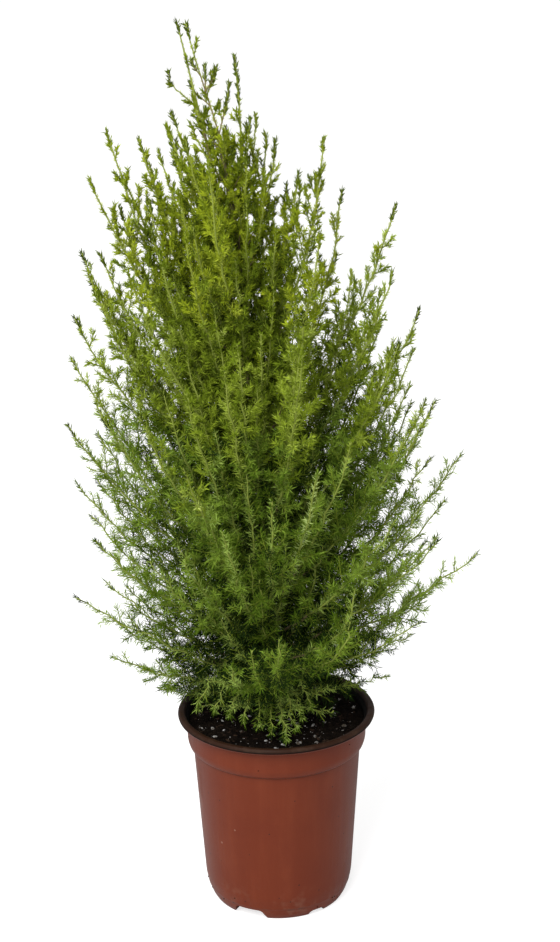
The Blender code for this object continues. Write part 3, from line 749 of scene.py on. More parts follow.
# %% Sprays on the stems
SPRAY_SPACING = 0.0044
SPRAY_FIRST = 0.05
SPRAY_LAST = 0.97
SPRAY_LENGTH = 0.044
SPRAY_NEAR_TIP = 0.0060
SPRAY_WIDENING = 0.22
BARE_TIP = 0.011
OPEN_TIP = 0.070
OPEN_SHARE = 0.30
OUTWARD_SHORTER = 0.50
OUTWARD_MISSING = 0.45
LEADER_SPACING = 1.3
BARE_LEADER = 0.667
BARE_LEADER_SHARE = 0.50
TRUNK_SPACING = 0.55
LEADER_SPRAY = 0.015
TRUNK_SPRAY = 0.028
SPRAY_ANGLE = math.radians(37)
LOW_SPRAY_ANGLE = math.radians(17)
SPRAY_LIFT = 0.26
SPRAY_STEPS = 4
SHORTEST_SPRAY = 0.0045
ROLL_SPREAD = 0.2
ANGLE_SPREAD = 0.13
LOW_ANGLE_SPREAD = 0.12
BARE_TIP_RANGE = (0.8, 1.7)
SPRAY_RANGE = (0.55, 1.1)
LOW_CROWN = 0.34
HIGH_CROWN = 0.60
SEED = 20
dice = np.random.default_rng(SEED)


def high_share(points):
    """0 for points low in the crown, 1 for those high up, and between in the middle."""
    return np.clip((points[..., 2] - LOW_CROWN) / (HIGH_CROWN - LOW_CROWN), 0, 1)


def outward_share(points, ways):
    """1 for ways that point straight away from the trunk, falling to 0 at its sides."""
    centre = trunk_centre(np.clip(points[:, 2], TRUNK_BASE, TRUNK_TOP))
    out = unit((points - centre) * [1, 1, 0])
    return np.clip((out * ways).sum(1), 0, 1)


def grow_sprays():
    spacing = SPRAY_SPACING * np.where(leaders, LEADER_SPACING, 1.0)
    spacing[-1] = SPRAY_SPACING * TRUNK_SPACING
    owner, share, number = spread_along(shoot_lengths, SPRAY_FIRST, SPRAY_LAST, spacing)
    roots, along = at(shoots, owner, share)
    start_roll = dice.uniform(0, 2 * math.pi, len(shoots))
    roll = start_roll[owner] + number * GOLDEN_ANGLE + dice.normal(0, ROLL_SPREAD, len(owner))
    low = 1 - high_share(roots)
    uneven = dice.normal(0, ANGLE_SPREAD + LOW_ANGLE_SPREAD * low)
    angle = (SPRAY_ANGLE + LOW_SPRAY_ANGLE * low) * (1 + uneven)
    to_tip = (1 - share) * shoot_lengths[owner] + beyond_end[owner]
    longest = np.where(leaders[owner], LEADER_SPRAY, SPRAY_LENGTH)
    longest = np.where(owner == len(shoots) - 1, TRUNK_SPRAY, longest)
    wanted = between((OPEN_SHARE, 1), np.clip(to_tip / OPEN_TIP, 0, 1))
    present = dice.random(len(owner)) < wanted
    bare = leaders[owner] & (roots[:, 2] > BARE_LEADER)
    present &= ~bare | (dice.random(len(owner)) < BARE_LEADER_SHARE)
    present &= to_tip > BARE_TIP * dice.uniform(*BARE_TIP_RANGE, len(owner))
    lengths = np.minimum(longest, SPRAY_NEAR_TIP + SPRAY_WIDENING * to_tip)
    lengths = lengths * dice.uniform(*SPRAY_RANGE, len(owner))
    facing = outward_share(roots, turned_about(along, square_to(along), roll))
    lengths = lengths * (1 - OUTWARD_SHORTER * facing)
    present &= dice.random(len(owner)) > OUTWARD_MISSING * facing
    paths, lengths = fitted(
        roots, along, roll, angle, lengths, SPRAY_LIFT, SPRAY_STEPS, owner, use_cells=True
    )
    grown = present & (lengths > SHORTEST_SPRAY)
    return paths[grown], owner[grown], share[grown], lengths[grown]


spray_paths, spray_owner, spray_share, spray_lengths = grow_sprays()
spray_to_tip = (1 - spray_share) * shoot_lengths[spray_owner] + beyond_end[spray_owner]
print(len(spray_paths), "sprays,", round(spray_lengths.sum(), 1), "metres")

# %% Twigs on the sprays
TWIG_SPACING = 0.0044
TWIG_FIRST = 0.16
TWIG_LAST = 0.90
TWIG_NEAR_TIP = 0.0026
TWIG_WIDENING = 0.36
TWIG_LONGEST = 0.017
TWIG_SHORTEST = 0.0030
BARE_SPRAY = 0.010
TWIG_ANGLE = math.radians(43)
TWIG_LIFT = 0.15
TWIG_STEPS = 1
TWIG_ROLL_SPREAD = 0.25
TWIG_ANGLE_RANGE = (0.8, 1.2)
TWIG_RANGE = (0.55, 1.15)


def grow_twigs():
    owner, share, number = spread_along(spray_lengths, TWIG_FIRST, TWIG_LAST, TWIG_SPACING)
    branched = spray_lengths[owner] > BARE_SPRAY
    owner, share, number = owner[branched], share[branched], number[branched]
    roots, along = at(spray_paths, owner, share)
    start_roll = dice.uniform(0, 2 * math.pi, len(spray_paths))
    roll = start_roll[owner] + number * GOLDEN_ANGLE + dice.normal(0, TWIG_ROLL_SPREAD, len(owner))
    angle = TWIG_ANGLE * dice.uniform(*TWIG_ANGLE_RANGE, len(owner))
    to_tip = (1 - share) * spray_lengths[owner]
    lengths = np.minimum(TWIG_LONGEST, TWIG_NEAR_TIP + TWIG_WIDENING * to_tip)
    lengths = lengths * dice.uniform(*TWIG_RANGE, len(owner))
    stem = spray_owner[owner]
    paths, lengths = fitted(
        roots, along, roll, angle, lengths, TWIG_LIFT, TWIG_STEPS, stem, use_cells=False
    )
    grown = lengths > TWIG_SHORTEST
    return paths[grown], owner[grown], share[grown], lengths[grown]


twig_paths, twig_owner, twig_share, twig_lengths = grow_twigs()
print(len(twig_paths), "twigs,", round(twig_lengths.sum(), 1), "metres")

# %% [markdown]
# The needles stand in whorls of four, and each whorl is turned against the last one.
# Low in the crown they are long, spread wide and stand well apart, so each one shows.
# Toward the tips of the shoots they are shorter, and thin out until the stem shows. The
# last centimetre of each axis ends in a tuft of close needles that lean forward.

# %% Needles for every axis
NEEDLE_LENGTH = 0.0078
NEEDLE_TOP_SHARE = 0.50
NEEDLE_OUTER_SHARE = 0.62
OUTER_DEPTH = 0.070
OUTER_KEPT = 0.60
NEEDLE_SPREADS = (math.radians(70), math.radians(54))
NEEDLES_A_WHORL = 4
NEEDLE_ROLL_SPREAD = 0.25
NEEDLE_SPREAD_RANGE = (0.75, 1.2)
NEEDLE_RANGE = (0.7, 1.2)
WHORL_SPACING = {"stem": 0.00135, "spray": 0.00172, "twig": 0.00182}
WHORLS_START = {"stem": 0.12, "spray": 0.06, "twig": 0.05}
LOW_KEPT = 0.68
LOW_FULL_TOP = 0.215
LEADER_KEPT = 0.60
NEEDLE_BREADTHS = (0.00070, 0.00066)
TUFT_BREADTHS = (0.00074, 0.00115)
LEAN_WOBBLE = 0.7


def needles_on(order, paths, lengths, beyond):
    """Roots, ways, lengths, owners and parents' ways of the needles on paths of one order.

    Beyond is how far each path's own end lies from the tip of its shoot.
    """
    roll_turn = dice.uniform(0, 2 * math.pi, len(paths))
    columns = spread_along(lengths, WHORLS_START[order], 1.0, WHORL_SPACING[order])
    owner, share, number = (np.repeat(column, NEEDLES_A_WHORL) for column in columns)
    place = np.tile(np.arange(NEEDLES_A_WHORL), len(columns[0]))
    roots, along = at(paths, owner, share)
    roll = roll_turn[owner] + (place + number / 2) * (2 * math.pi / NEEDLES_A_WHORL)
    roll = roll + dice.normal(0, NEEDLE_ROLL_SPREAD, len(owner))
    high = high_share(roots)
    inner = np.clip(((1 - share) * lengths[owner] + beyond[owner]) / OUTER_DEPTH, 0, 1)
    spread = between(NEEDLE_SPREADS, high) * dice.uniform(*NEEDLE_SPREAD_RANGE, len(owner))
    size = NEEDLE_LENGTH * between((1, NEEDLE_TOP_SHARE), high)
    size = size * between((NEEDLE_OUTER_SHARE, 1), inner)
    size = size * dice.uniform(*NEEDLE_RANGE, len(owner))
    full = np.maximum(high, roots[:, 2] < LOW_FULL_TOP)
    wanted = between((OUTER_KEPT, 1), inner) * between((LOW_KEPT, 1), full)
    kept = dice.random(len(owner)) < wanted
    way = lean_out(along, roll, spread)
    return [column[kept] for column in (roots, way, size, owner, along)]


spray_beyond = np.maximum(spray_to_tip - spray_lengths, 0)
twig_beyond = spray_beyond[twig_owner] + (1 - twig_share) * spray_lengths[twig_owner]
stem_needles = needles_on("stem", shoots, shoot_lengths, beyond_end)
spray_needles = needles_on("spray", spray_paths, spray_lengths, spray_beyond)
twig_needles = needles_on("twig", twig_paths, twig_lengths, twig_beyond)
on_twins = np.isin(stem_needles[3], (leader, first_fork))
slim = on_twins & (stem_needles[0][:, 2] > BARE_LEADER)
left_on = ~slim | (dice.random(len(slim)) < LEADER_KEPT)
stem_needles = [column[left_on] for column in stem_needles]
on_trunk = stem_needles[3] == len(shoots) - 1
aside_of_trunk = unit(stem_needles[1][on_trunk] * [1, 1, 0])
stem_needles[0][on_trunk] += aside_of_trunk * TRUNK_TIP_RADIUS

# %% Tufts at the ends
TUFT_NEEDLE = 0.0058
TUFT_TOP_SHARE = 0.80
TUFT_SPREAD = math.radians(40)
TUFT_SPACING = 0.00052
TUFT_MOST = 0.7
NEEDLES_A_STEP = 2
TUFT_SPREAD_RANGE = (0.45, 1.45)
TUFT_RANGE = (0.7, 1.25)
TUFT_LOW_SHARE = 0.26
STEM_TUFT_LOW_SHARE = 0.50
FORK_TUFT = 0.026
SECOND_LEADER_TUFT = 0.034
STEM_TUFT = 0.013
SPRAY_TUFT = 0.0085
TWIG_TUFT = 0.0050


def tufts_on(paths, lengths, longest, low_share):
    """Short close needles that lean forward, round the last millimetres of each axis."""
    reach = np.minimum(longest, TUFT_MOST * lengths)
    full = between((low_share, 1), high_share(paths[:, -1]))
    owner, place, _ = spread_along(reach * full, 0.0, 1.0, TUFT_SPACING)
    share = 1 - (1 - place) * reach[owner] / lengths[owner]
    owner, share = (np.repeat(column, NEEDLES_A_STEP) for column in (owner, share))
    roots, along = at(paths, owner, share)
    roll = dice.uniform(0, 2 * math.pi, len(owner))
    spread = TUFT_SPREAD * dice.uniform(*TUFT_SPREAD_RANGE, len(owner))
    size = TUFT_NEEDLE * between((1, TUFT_TOP_SHARE), high_share(roots))
    size = size * dice.uniform(*TUFT_RANGE, len(owner))
    return roots, lean_out(along, roll, spread), size, owner, along


stem_tuft_lengths = np.full(len(shoots) - 1, STEM_TUFT)
stem_tuft_lengths[first_fork + 1:] = FORK_TUFT
stem_tuft_lengths[second_leader] = SECOND_LEADER_TUFT
stem_tufts = tufts_on(shoots[:-1], shoot_lengths[:-1], stem_tuft_lengths, STEM_TUFT_LOW_SHARE)
spray_tufts = tufts_on(spray_paths, spray_lengths, SPRAY_TUFT, TUFT_LOW_SHARE)
twig_tufts = tufts_on(twig_paths, twig_lengths, TWIG_TUFT, TUFT_LOW_SHARE)
every_needle = (stem_needles, spray_needles, twig_needles, stem_tufts, spray_tufts, twig_tufts)
print("needles:", [len(group[0]) for group in every_needle])

# %% [markdown]
# Foliage isn't one green. Sprays deep inside get dark tints, which paint the shade there, most are a
# clear mid green, and those on the outside get pale tints, which paint the light that falls on them.
# High in the crown the greens are yellower than low down, and paler inside too, a painted light for
# light that shines through the needles, so there are two families of five tints, and a third between
# them. Each tint is one plain material, and whole sprays are dealt out to the tints by where they grow.

# %% Tints of the needles
# The five tints of a family run from the darkest, which paints shade, to the palest, which paints
# light.
SHADES = ("deep", "olive", "leaf", "fresh", "lime")
LOW_TINTS = (
    (0.010, 0.025, 0.002), (0.080, 0.140, 0.008), (0.185, 0.282, 0.030),
    (0.295, 0.408, 0.080), (0.420, 0.530, 0.160),
)
# The high family is yellower, and its darkest tints are far paler than the low ones: painted light for
# light that shines through the needles high in the crown.
HIGH_TINTS = (
    (0.098, 0.140, 0.010), (0.205, 0.270, 0.011), (0.330, 0.402, 0.018),
    (0.420, 0.490, 0.045), (0.520, 0.580, 0.100),
)
MIDDLE_TINTS = (np.array(LOW_TINTS) + HIGH_TINTS) / 2
TINTS = {
    f"{family}_{shade}": tint
    for family, tints in (("low", LOW_TINTS), ("middle", MIDDLE_TINTS), ("high", HIGH_TINTS))
    for shade, tint in zip(SHADES, tints)
}
NEEDLE_ROUGHNESS = 0.7
NEEDLE_SPECULAR = 0.08
TINT_LADDER = (0.14, 0.34, 0.62, 0.88)
FAMILY_HEIGHTS = (0.41, 0.53)
FAMILY_SPREAD = 0.028
FAMILY_SHARE = 0.6
# Painted shade and light: sprays deep inside the crown get low tones, less low high up, and sprays at
# its outside get a high tone.
INNER_SHADE_TONES = (0.08, 0.50)
OUTER_LIGHT_TONE = 0.74
TONE_POWERS = (2.0, 1.2)
TONE_SPREAD = 0.13
FOOT_SHADE = 0.36
FOOT_TOP = 0.285
FOOT_FADE = 0.070
FRONT_SHADE = 0.38
FRONT_START = 0.075
FRONT_FADE = 0.040
STEM_TONE = 0.70
STEM_TONE_SPREAD = 0.09
SPRAY_LIGHTER = 0.08
TWIG_DARKER = 0.05
STEM_TUFT_DARKER = 0.54
LEADER_TUFT_DARKER = 0.30
SPRAY_TUFT_DARKER = 0.38
TWIG_TUFT_DARKER = 0.18
NEEDLE_DIP = 0.0005


def plain_finish(name, colour, roughness, specular):
    material = bpy.data.materials.new(name)
    material.use_nodes = True
    shader = material.node_tree.nodes["Principled BSDF"]
    shader.inputs["Base Color"].default_value = (*colour, 1.0)
    shader.inputs["Roughness"].default_value = roughness
    shader.inputs["Specular IOR Level"].default_value = specular
    return material


tint_materials = [
    plain_finish(f"needles_{name}", tint, NEEDLE_ROUGHNESS, NEEDLE_SPECULAR)
    for name, tint in TINTS.items()
]


def painted_shading_at(points):
    """A number for each point from 0, dark, to 1, pale: painted shade deep inside the crown, at its
    foot and at its low front, painted light on its outside, and a random spread.
    """
    height, high = points[:, 2], high_share(points)
    centre = trunk_centre(np.clip(height, TRUNK_BASE, TRUNK_TOP))
    out = np.linalg.norm(points[:, :2] - centre[:, :2], axis=1)
    depth = np.clip(out / outline_reach(height), 0, 1) ** between(TONE_POWERS, high)
    tone = between((between(INNER_SHADE_TONES, high), OUTER_LIGHT_TONE), depth)
    # Painted shade at the foot of the crown, over the potting mix.
    tone = tone - FOOT_SHADE * np.clip((FOOT_TOP - height) / FOOT_FADE, 0, 1)
    # Painted shade on the low shoots at the front of the crown.
    low_front = np.clip((-points[:, 1] - FRONT_START) / FRONT_FADE, 0, 1)
    low_front = low_front * np.clip((UPTURN_HEIGHT - height) / FOOT_FADE, 0, 1)
    tone = tone - FRONT_SHADE * low_front
    return np.clip(tone + dice.normal(0, TONE_SPREAD, len(points)), 0, 1)


painted_shading_of_spray = painted_shading_at(spray_paths[:, SPRAY_STEPS // 2])
tone_of_stem = dice.normal(STEM_TONE, STEM_TONE_SPREAD, len(shoots))
high_stem = dice.normal(0, FAMILY_SPREAD, len(shoots))
high_spray = dice.normal(0, FAMILY_SPREAD * FAMILY_SHARE, len(spray_paths))
high_spray = high_spray + high_stem[spray_owner] * FAMILY_SHARE


def deal_tints():
    """The tint of each needle: its spray's tone, with its painted shade and light, made deeper in the
    tufts at the tips.
    """
    owners = [group[3] for group in every_needle]
    owners[2], owners[5] = twig_owner[owners[2]], twig_owner[owners[5]]
    changes = (
        0, SPRAY_LIGHTER, -TWIG_DARKER,
        -STEM_TUFT_DARKER - LEADER_TUFT_DARKER * leaders[owners[3]],
        -SPRAY_TUFT_DARKER * high_share(spray_tufts[0]),
        -TWIG_TUFT_DARKER * high_share(twig_tufts[0]),
    )
    tones = (tone_of_stem, painted_shading_of_spray, painted_shading_of_spray) * 2
    shifts = (high_stem, high_spray, high_spray) * 2
    tone = np.concatenate([of[own] + change for of, own, change in zip(tones, owners, changes)])
    shift = np.concatenate([of[own] for of, own in zip(shifts, owners)])
    family = np.searchsorted(FAMILY_HEIGHTS, needle_roots[:, 2] + shift)
    return np.searchsorted(TINT_LADDER, tone) + family * len(SHADES)


needle_roots, needle_ways, needle_sizes, needle_leans = (
    np.concatenate([group[part] for group in every_needle]) for part in (0, 1, 2, 4)
)
needle_leans = needle_leans + dice.normal(0, LEAN_WOBBLE, needle_leans.shape)
in_tufts = sum(len(group[0]) for group in every_needle[3:])
breadth_heights = (LOW_CROWN, HIGH_CROWN)
needle_breadths = np.interp(needle_roots[:, 2], breadth_heights, NEEDLE_BREADTHS)
tuft_heights = needle_roots[-in_tufts:, 2]
needle_breadths[-in_tufts:] = np.interp(tuft_heights, breadth_heights, TUFT_BREADTHS)
needle_tints = deal_tints()
clear_of_soil = needle_roots[:, 2] + needle_ways[:, 2] * needle_sizes > SOIL_TOP - NEEDLE_DIP

# %% [markdown]
# Geometry Nodes turn the list of needles into meshes. Each needle is a slim blade of two
# triangles. A small grid is drawn in to a point at both ends and bent forward like an
# eyelash. It is set on each point, aimed along the needle's direction and rolled until it
# bends roughly toward the twig's own tip. The instances are realized, because the finished
# model has to be one plain mesh. One helper adds every node, here and in the materials.

# %% Helpers for node trees
def add_node(tree, kind, inputs=None, **settings):
    """A node with its settings, and inputs from plain values or other nodes' outputs."""
    node = tree.nodes.new(kind)
    for name, value in settings.items():
        setattr(node, name, value)
    for name, source in (inputs or {}).items():
        if isinstance(source, bpy.types.NodeSocket):
            tree.links.new(source, node.inputs[name])
        else:
            node.inputs[name].default_value = source
    return node


def math_node(tree, operation, *values, **settings):
    """The result of a Math node on numbers or on other nodes' outputs."""
    inputs = dict(enumerate(values))
    return add_node(tree, "ShaderNodeMath", inputs, operation=operation, **settings).outputs["Value"]


def new_tree(name, **inputs):
    """A tree that takes a geometry and named inputs, and the outputs of its input node."""
    tree = bpy.data.node_groups.new(name, "GeometryNodeTree")
    for label, kind in {"Geometry": "Geometry", **inputs}.items():
        tree.interface.new_socket(label, in_out="INPUT", socket_type=f"NodeSocket{kind}")
    tree.interface.new_socket("Geometry", in_out="OUTPUT", socket_type="NodeSocketGeometry")
    return tree, tree.nodes.new("NodeGroupInput").outputs


def copies(tree, points, instance, rotation, scale):
    """A real copy of the instance on each point."""
    place = add_node(tree, "GeometryNodeInstanceOnPoints", {
        "Points": points, "Instance": instance, "Rotation": rotation, "Scale": scale,
    })
    real = add_node(tree, "GeometryNodeRealizeInstances", {"Geometry": place.outputs["Instances"]})
    return real.outputs["Geometry"]


def end_tree(tree, geometry, material):
    """The last nodes of a tree, which set the material and hand the geometry out."""
    paint = add_node(tree, "GeometryNodeSetMaterial", {"Geometry": geometry, "Material": material})
    add_node(tree, "NodeGroupOutput", {"Geometry": paint.outputs["Geometry"]})


def applied(piece):
    """Turn an object's modifiers into its plain mesh."""
    bpy.context.view_layer.update()
    graph = bpy.context.evaluated_depsgraph_get()
    mesh = bpy.data.meshes.new_from_object(piece.evaluated_get(graph))
    piece.modifiers.clear()
    piece.data = mesh
    mesh.name = piece.name


def realized(piece, tree, **values):
    """Run a node tree on an object, and keep the result as its plain mesh."""
    modifier = piece.modifiers.new("tree", "NODES")
    modifier.node_group = tree
    for item in tree.interface.items_tree:
        if item.in_out == "INPUT" and item.name in values:
            modifier[item.identifier] = values[item.name]
    applied(piece)


# %% The node tree that sets needles
WIDEST_POWER = 1.4
WELD_DISTANCE = 0.001
NEEDLE_ATTRIBUTES = {
    "way": "FLOAT_VECTOR", "lean": "FLOAT_VECTOR", "size": "FLOAT", "breadth": "FLOAT",
}


def needle_blade(tree, bend):
    """One needle a metre long, on +Z: widest near its root, and bent toward +Y."""
    strip = add_node(tree, "GeometryNodeMeshGrid", {"Vertices X": 2, "Vertices Y": 3})
    place = add_node(tree, "GeometryNodeInputPosition").outputs["Position"]
    split = add_node(tree, "ShaderNodeSeparateXYZ", {"Vector": place})
    row = math_node(tree, "ADD", split.outputs["Y"], 0.5)
    squared = math_node(tree, "MULTIPLY", row, row)
    belly = math_node(tree, "MULTIPLY", math_node(tree, "SUBTRACT", row, squared), 4.0)
    across = math_node(tree, "MULTIPLY", split.outputs["X"], belly)
    along = math_node(tree, "POWER", row, WIDEST_POWER)
    forward = math_node(tree, "MULTIPLY", math_node(tree, "MULTIPLY", along, along), bend)
    moved = add_node(tree, "ShaderNodeCombineXYZ", {"X": across, "Y": forward, "Z": along})
    shape = add_node(tree, "GeometryNodeSetPosition", {
        "Geometry": strip.outputs["Mesh"], "Position": moved.outputs["Vector"],
    })
    close = add_node(tree, "GeometryNodeMergeByDistance", {
        "Geometry": shape.outputs["Geometry"], "Distance": WELD_DISTANCE,
    })
    return close.outputs["Geometry"]


def needle_tree():
    tree, given = new_tree("needles", Bend="Float", Material="Material")
    read = []
    for name, kind in NEEDLE_ATTRIBUTES.items():
        node = add_node(tree, "GeometryNodeInputNamedAttribute", {"Name": name}, data_type=kind)
        read.append(node.outputs["Attribute"])
    way, lean, size, breadth = read
    aimed = add_node(tree, "FunctionNodeAlignRotationToVector", {"Vector": way}, axis="Z")
    turn = {"Vector": lean, "Rotation": aimed.outputs["Rotation"]}
    rolled = add_node(tree, "FunctionNodeAlignRotationToVector", turn, axis="Y", pivot_axis="Z")
    stretch = add_node(tree, "ShaderNodeCombineXYZ", {"X": breadth, "Y": size, "Z": size})
    needles = copies(
        tree, given["Geometry"], needle_blade(tree, given["Bend"]),
        rolled.outputs["Rotation"], stretch.outputs["Vector"],
    )
    end_tree(tree, needles, given["Material"])
    return tree


def add_points(name, points, **attributes):
    """An object of loose points that carry named attributes for a node tree."""
    mesh = bpy.data.meshes.new(name)
    mesh.vertices.add(len(points))
    mesh.vertices.foreach_set("co", np.ascontiguousarray(points, np.float32).ravel())
    for key, values in attributes.items():
        kind, field = ("FLOAT_VECTOR", "vector") if values.ndim == 2 else ("FLOAT", "value")
        column = mesh.attributes.new(key, kind, "POINT")
        column.data.foreach_set(field, np.ascontiguousarray(values, np.float32).ravel())
    return placed(name, mesh)


# %% Needles as meshes
NEEDLES_A_PIECE = 95000
NEEDLE_BEND = 0.27


def build_needles():
    tree = needle_tree()
    pieces = []
    for tint, tint_name in enumerate(TINTS):
        chosen = np.flatnonzero((needle_tints == tint) & clear_of_soil)
        for part, first in enumerate(range(0, len(chosen), NEEDLES_A_PIECE)):
            some = chosen[first:first + NEEDLES_A_PIECE]
            name = f"needles_{tint_name}_{part + 1}"
            piece = add_points(
                name, needle_roots[some], way=needle_ways[some], lean=needle_leans[some],
                size=needle_sizes[some], breadth=needle_breadths[some],
            )
            realized(piece, tree, Bend=NEEDLE_BEND, Material=tint_materials[tint])
            piece.data.shade_smooth()
            pieces.append(piece)
    return pieces


needle_pieces = build_needles()
triangles = sum(len(p.data.loops) - 2 * len(p.data.polygons) for p in needle_pieces)
print(len(needle_pieces), "needle pieces,", triangles, "triangles")

# %% [markdown]
# Stems and twigs are slim tubes. The stems are round enough to catch a highlight, and the
# twigs, which are under a millimetre thick, need only three sides.

# %% Stems, sprays and twigs as tubes
STEM_RADIUS = 0.0012
FULL_SHOOT = 0.22
STEM_SHARES = (0.34, 1.15)
LEADER_THICKER = 0.35
STEM_TIP_RADIUS = 0.0005
STEM_SIDES = 7
SPRAY_RADIUS = 0.00060
SPRAY_TIP_RADIUS = 0.00030
TWIG_RADIUS = 0.00042
TWIG_TIP_RADIUS = 0.00022
TWIG_SIDES = 3
WOODY_SHARE = 0.24
WOODY_LEADER_SHARE = 0.55

stem_finish = plain_finish("stems", (0.265, 0.315, 0.060), 0.6, 0.1)
young_wood_finish = plain_finish("young_wood", (0.240, 0.190, 0.095), 0.7, 0.1)
twig_finish = plain_finish("twigs", (0.200, 0.260, 0.026), 0.6, 0.1)


def build_stems():
    """The stems of all shoots but the trunk's own, woody low down and green above."""
    own = slice(0, len(shoots) - 1)
    thick = STEM_RADIUS * np.clip(shoot_lengths[own] / FULL_SHOOT, *STEM_SHARES)
    thick = thick * (1 + LEADER_THICKER * leaders[own])
    share = np.linspace(0, 1, SHOOT_STEPS + 1)
    radii = thick[:, None] + (STEM_TIP_RADIUS - thick)[:, None] * share
    corners, faces = tubes(shoots[own], radii, STEM_SIDES)
    piece = add_mesh("stems", corners, faces, stem_finish, young_wood_finish)
    limit = np.where(leaders[own], WOODY_LEADER_SHARE, WOODY_SHARE)
    woody = (share[None, :-1] < limit[:, None]).repeat(STEM_SIDES, 1).ravel()
    slots = np.zeros(len(piece.data.polygons), np.int32)
    slots[:len(woody)] = woody
    piece.data.polygons.foreach_set("material_index", slots)
    return piece


def thin_tubes(name, paths, thick, thin):
    """Tapering tubes of three sides along paths."""
    share = np.linspace(0, 1, paths.shape[1])
    radii = np.ones((len(paths), 1)) * (thick + (thin - thick) * share)
    corners, faces = tubes(paths, radii, TWIG_SIDES)
    return add_mesh(name, corners, faces, twig_finish)


stems = build_stems()
sprays = thin_tubes("sprays", spray_paths, SPRAY_RADIUS, SPRAY_TIP_RADIUS)
twigs = thin_tubes("twigs", twig_paths, TWIG_RADIUS, TWIG_TIP_RADIUS)

# %% [markdown]
# The pot, the potting mix and the bark share a few effects: uneven colour, small specks
# and a band between two heights. Each is a shader node group, built once, and each
# material places it with its own sizes. All of them read Object coordinates, which are
# metres on this model.

# %% Shader groups
def shader_group(name, **inputs):
    """A shader group with named inputs and one mask, and the outputs of its input node."""
    group = bpy.data.node_groups.new(name, "ShaderNodeTree")
    for label, value in inputs.items():
        kind = "NodeSocketVector" if isinstance(value, tuple) else "NodeSocketFloat"
        group.interface.new_socket(label, in_out="INPUT", socket_type=kind).default_value = value
    group.interface.new_socket("Mask", in_out="OUTPUT", socket_type="NodeSocketFloat")
    return group, group.nodes.new("NodeGroupInput").outputs


def object_place(group):
    return add_node(group, "ShaderNodeTexCoord").outputs["Object"]


def stretched_place(group, given):
    """Object coordinates times the group's Stretch input."""
    inputs = {"Vector": object_place(group), "Scale": given["Stretch"]}
    return add_node(group, "ShaderNodeMapping", inputs).outputs["Vector"]


def build_blotches():
    """Soft uneven patches, from 0 to 1."""
    group, given = shader_group("blotches", Scale=40.0, Stretch=(1.0, 1.0, 1.0), Low=0.35, High=0.65)
    noise = add_node(group, "ShaderNodeTexNoise", {
        "Vector": stretched_place(group, given), "Scale": given["Scale"],
        "Detail": 6.0, "Roughness": 0.62,
    })
    spread = add_node(group, "ShaderNodeMapRange", {
        "Value": noise.outputs["Fac"], "From Min": given["Low"], "From Max": given["High"],
    }, interpolation_type="SMOOTHSTEP")
    add_node(group, "NodeGroupOutput", {"Mask": spread.outputs["Result"]})
    return group


def build_specks():
    """Small separate dots: Share says how many cells have one, Size how wide they are."""
    group, given = shader_group("specks", Scale=300.0, Stretch=(1.0, 1.0, 1.0), Share=0.1, Size=0.3)
    cells = add_node(group, "ShaderNodeTexVoronoi", {
        "Vector": stretched_place(group, given), "Scale": given["Scale"],
    })
    split = add_node(group, "ShaderNodeSeparateColor", {"Color": cells.outputs["Color"]})
    near = math_node(group, "LESS_THAN", cells.outputs["Distance"], given["Size"])
    chosen = math_node(group, "LESS_THAN", split.outputs["Red"], given["Share"])
    add_node(group, "NodeGroupOutput", {"Mask": math_node(group, "MULTIPLY", near, chosen)})
    return group


def build_band():
    """1 between two heights, fading out over Fade above and below them."""
    group, given = shader_group("height_band", Low=0.0, High=0.1, Fade=0.01)
    height = add_node(group, "ShaderNodeSeparateXYZ", {"Vector": object_place(group)}).outputs["Z"]
    sides = []
    for upper, lower in ((height, given["Low"]), (given["High"], height)):
        share = math_node(group, "DIVIDE", math_node(group, "SUBTRACT", upper, lower), given["Fade"])
        sides.append(math_node(group, "ADD", share, 1.0, use_clamp=True))
    add_node(group, "NodeGroupOutput", {"Mask": math_node(group, "MULTIPLY", *sides)})
    return group


BLOTCHES = build_blotches()
SPECKS = build_specks()
BAND = build_band()

# %% [markdown]
# A material starts from one base colour and lays others over it, each through a mask. A
# small class keeps that short, and remembers the colour so far.

# %% A material built up in layers
class Finish:
    def __init__(self, name, colour, roughness, specular):
        self.material = plain_finish(name, colour, roughness, specular)
        self.tree = self.material.node_tree
        self.shader = self.tree.nodes["Principled BSDF"]
        self.colour = (*colour, 1.0)

    def mask(self, group, **values):
        return add_node(self.tree, "ShaderNodeGroup", values, node_tree=group).outputs["Mask"]

    def both(self, first, second, operation="MULTIPLY"):
        return math_node(self.tree, operation, first, second)

    def feed(self, kind, output, target, inputs, **settings):
        """A node whose output goes into one of the shader's inputs."""
        result = add_node(self.tree, kind, inputs, **settings).outputs[output]
        self.tree.links.new(result, self.shader.inputs[target])
        return result

    def lay(self, colour, mask, share=1.0):
        """Lay a share of a colour over what is there, where the mask is 1."""
        if share < 1:
            mask = self.both(mask, share)
        inputs = {"Factor": mask, "A": self.colour, "B": (*colour, 1.0)}
        self.colour = self.feed("ShaderNodeMix", "Result", "Base Color", inputs, data_type="RGBA")

    def roughen(self, mask, low, high):
        """Roughness from low to high as the mask goes from 0 to 1."""
        inputs = {"Value": mask, "To Min": low, "To Max": high}
        self.feed("ShaderNodeMapRange", "Result", "Roughness", inputs)

    def relief(self, mask, depth, strength=1.0):
        """Bumps of a depth in metres from a mask."""
        inputs = {"Height": mask, "Distance": depth, "Strength": strength}
        self.feed("ShaderNodeBump", "Normal", "Normal", inputs)
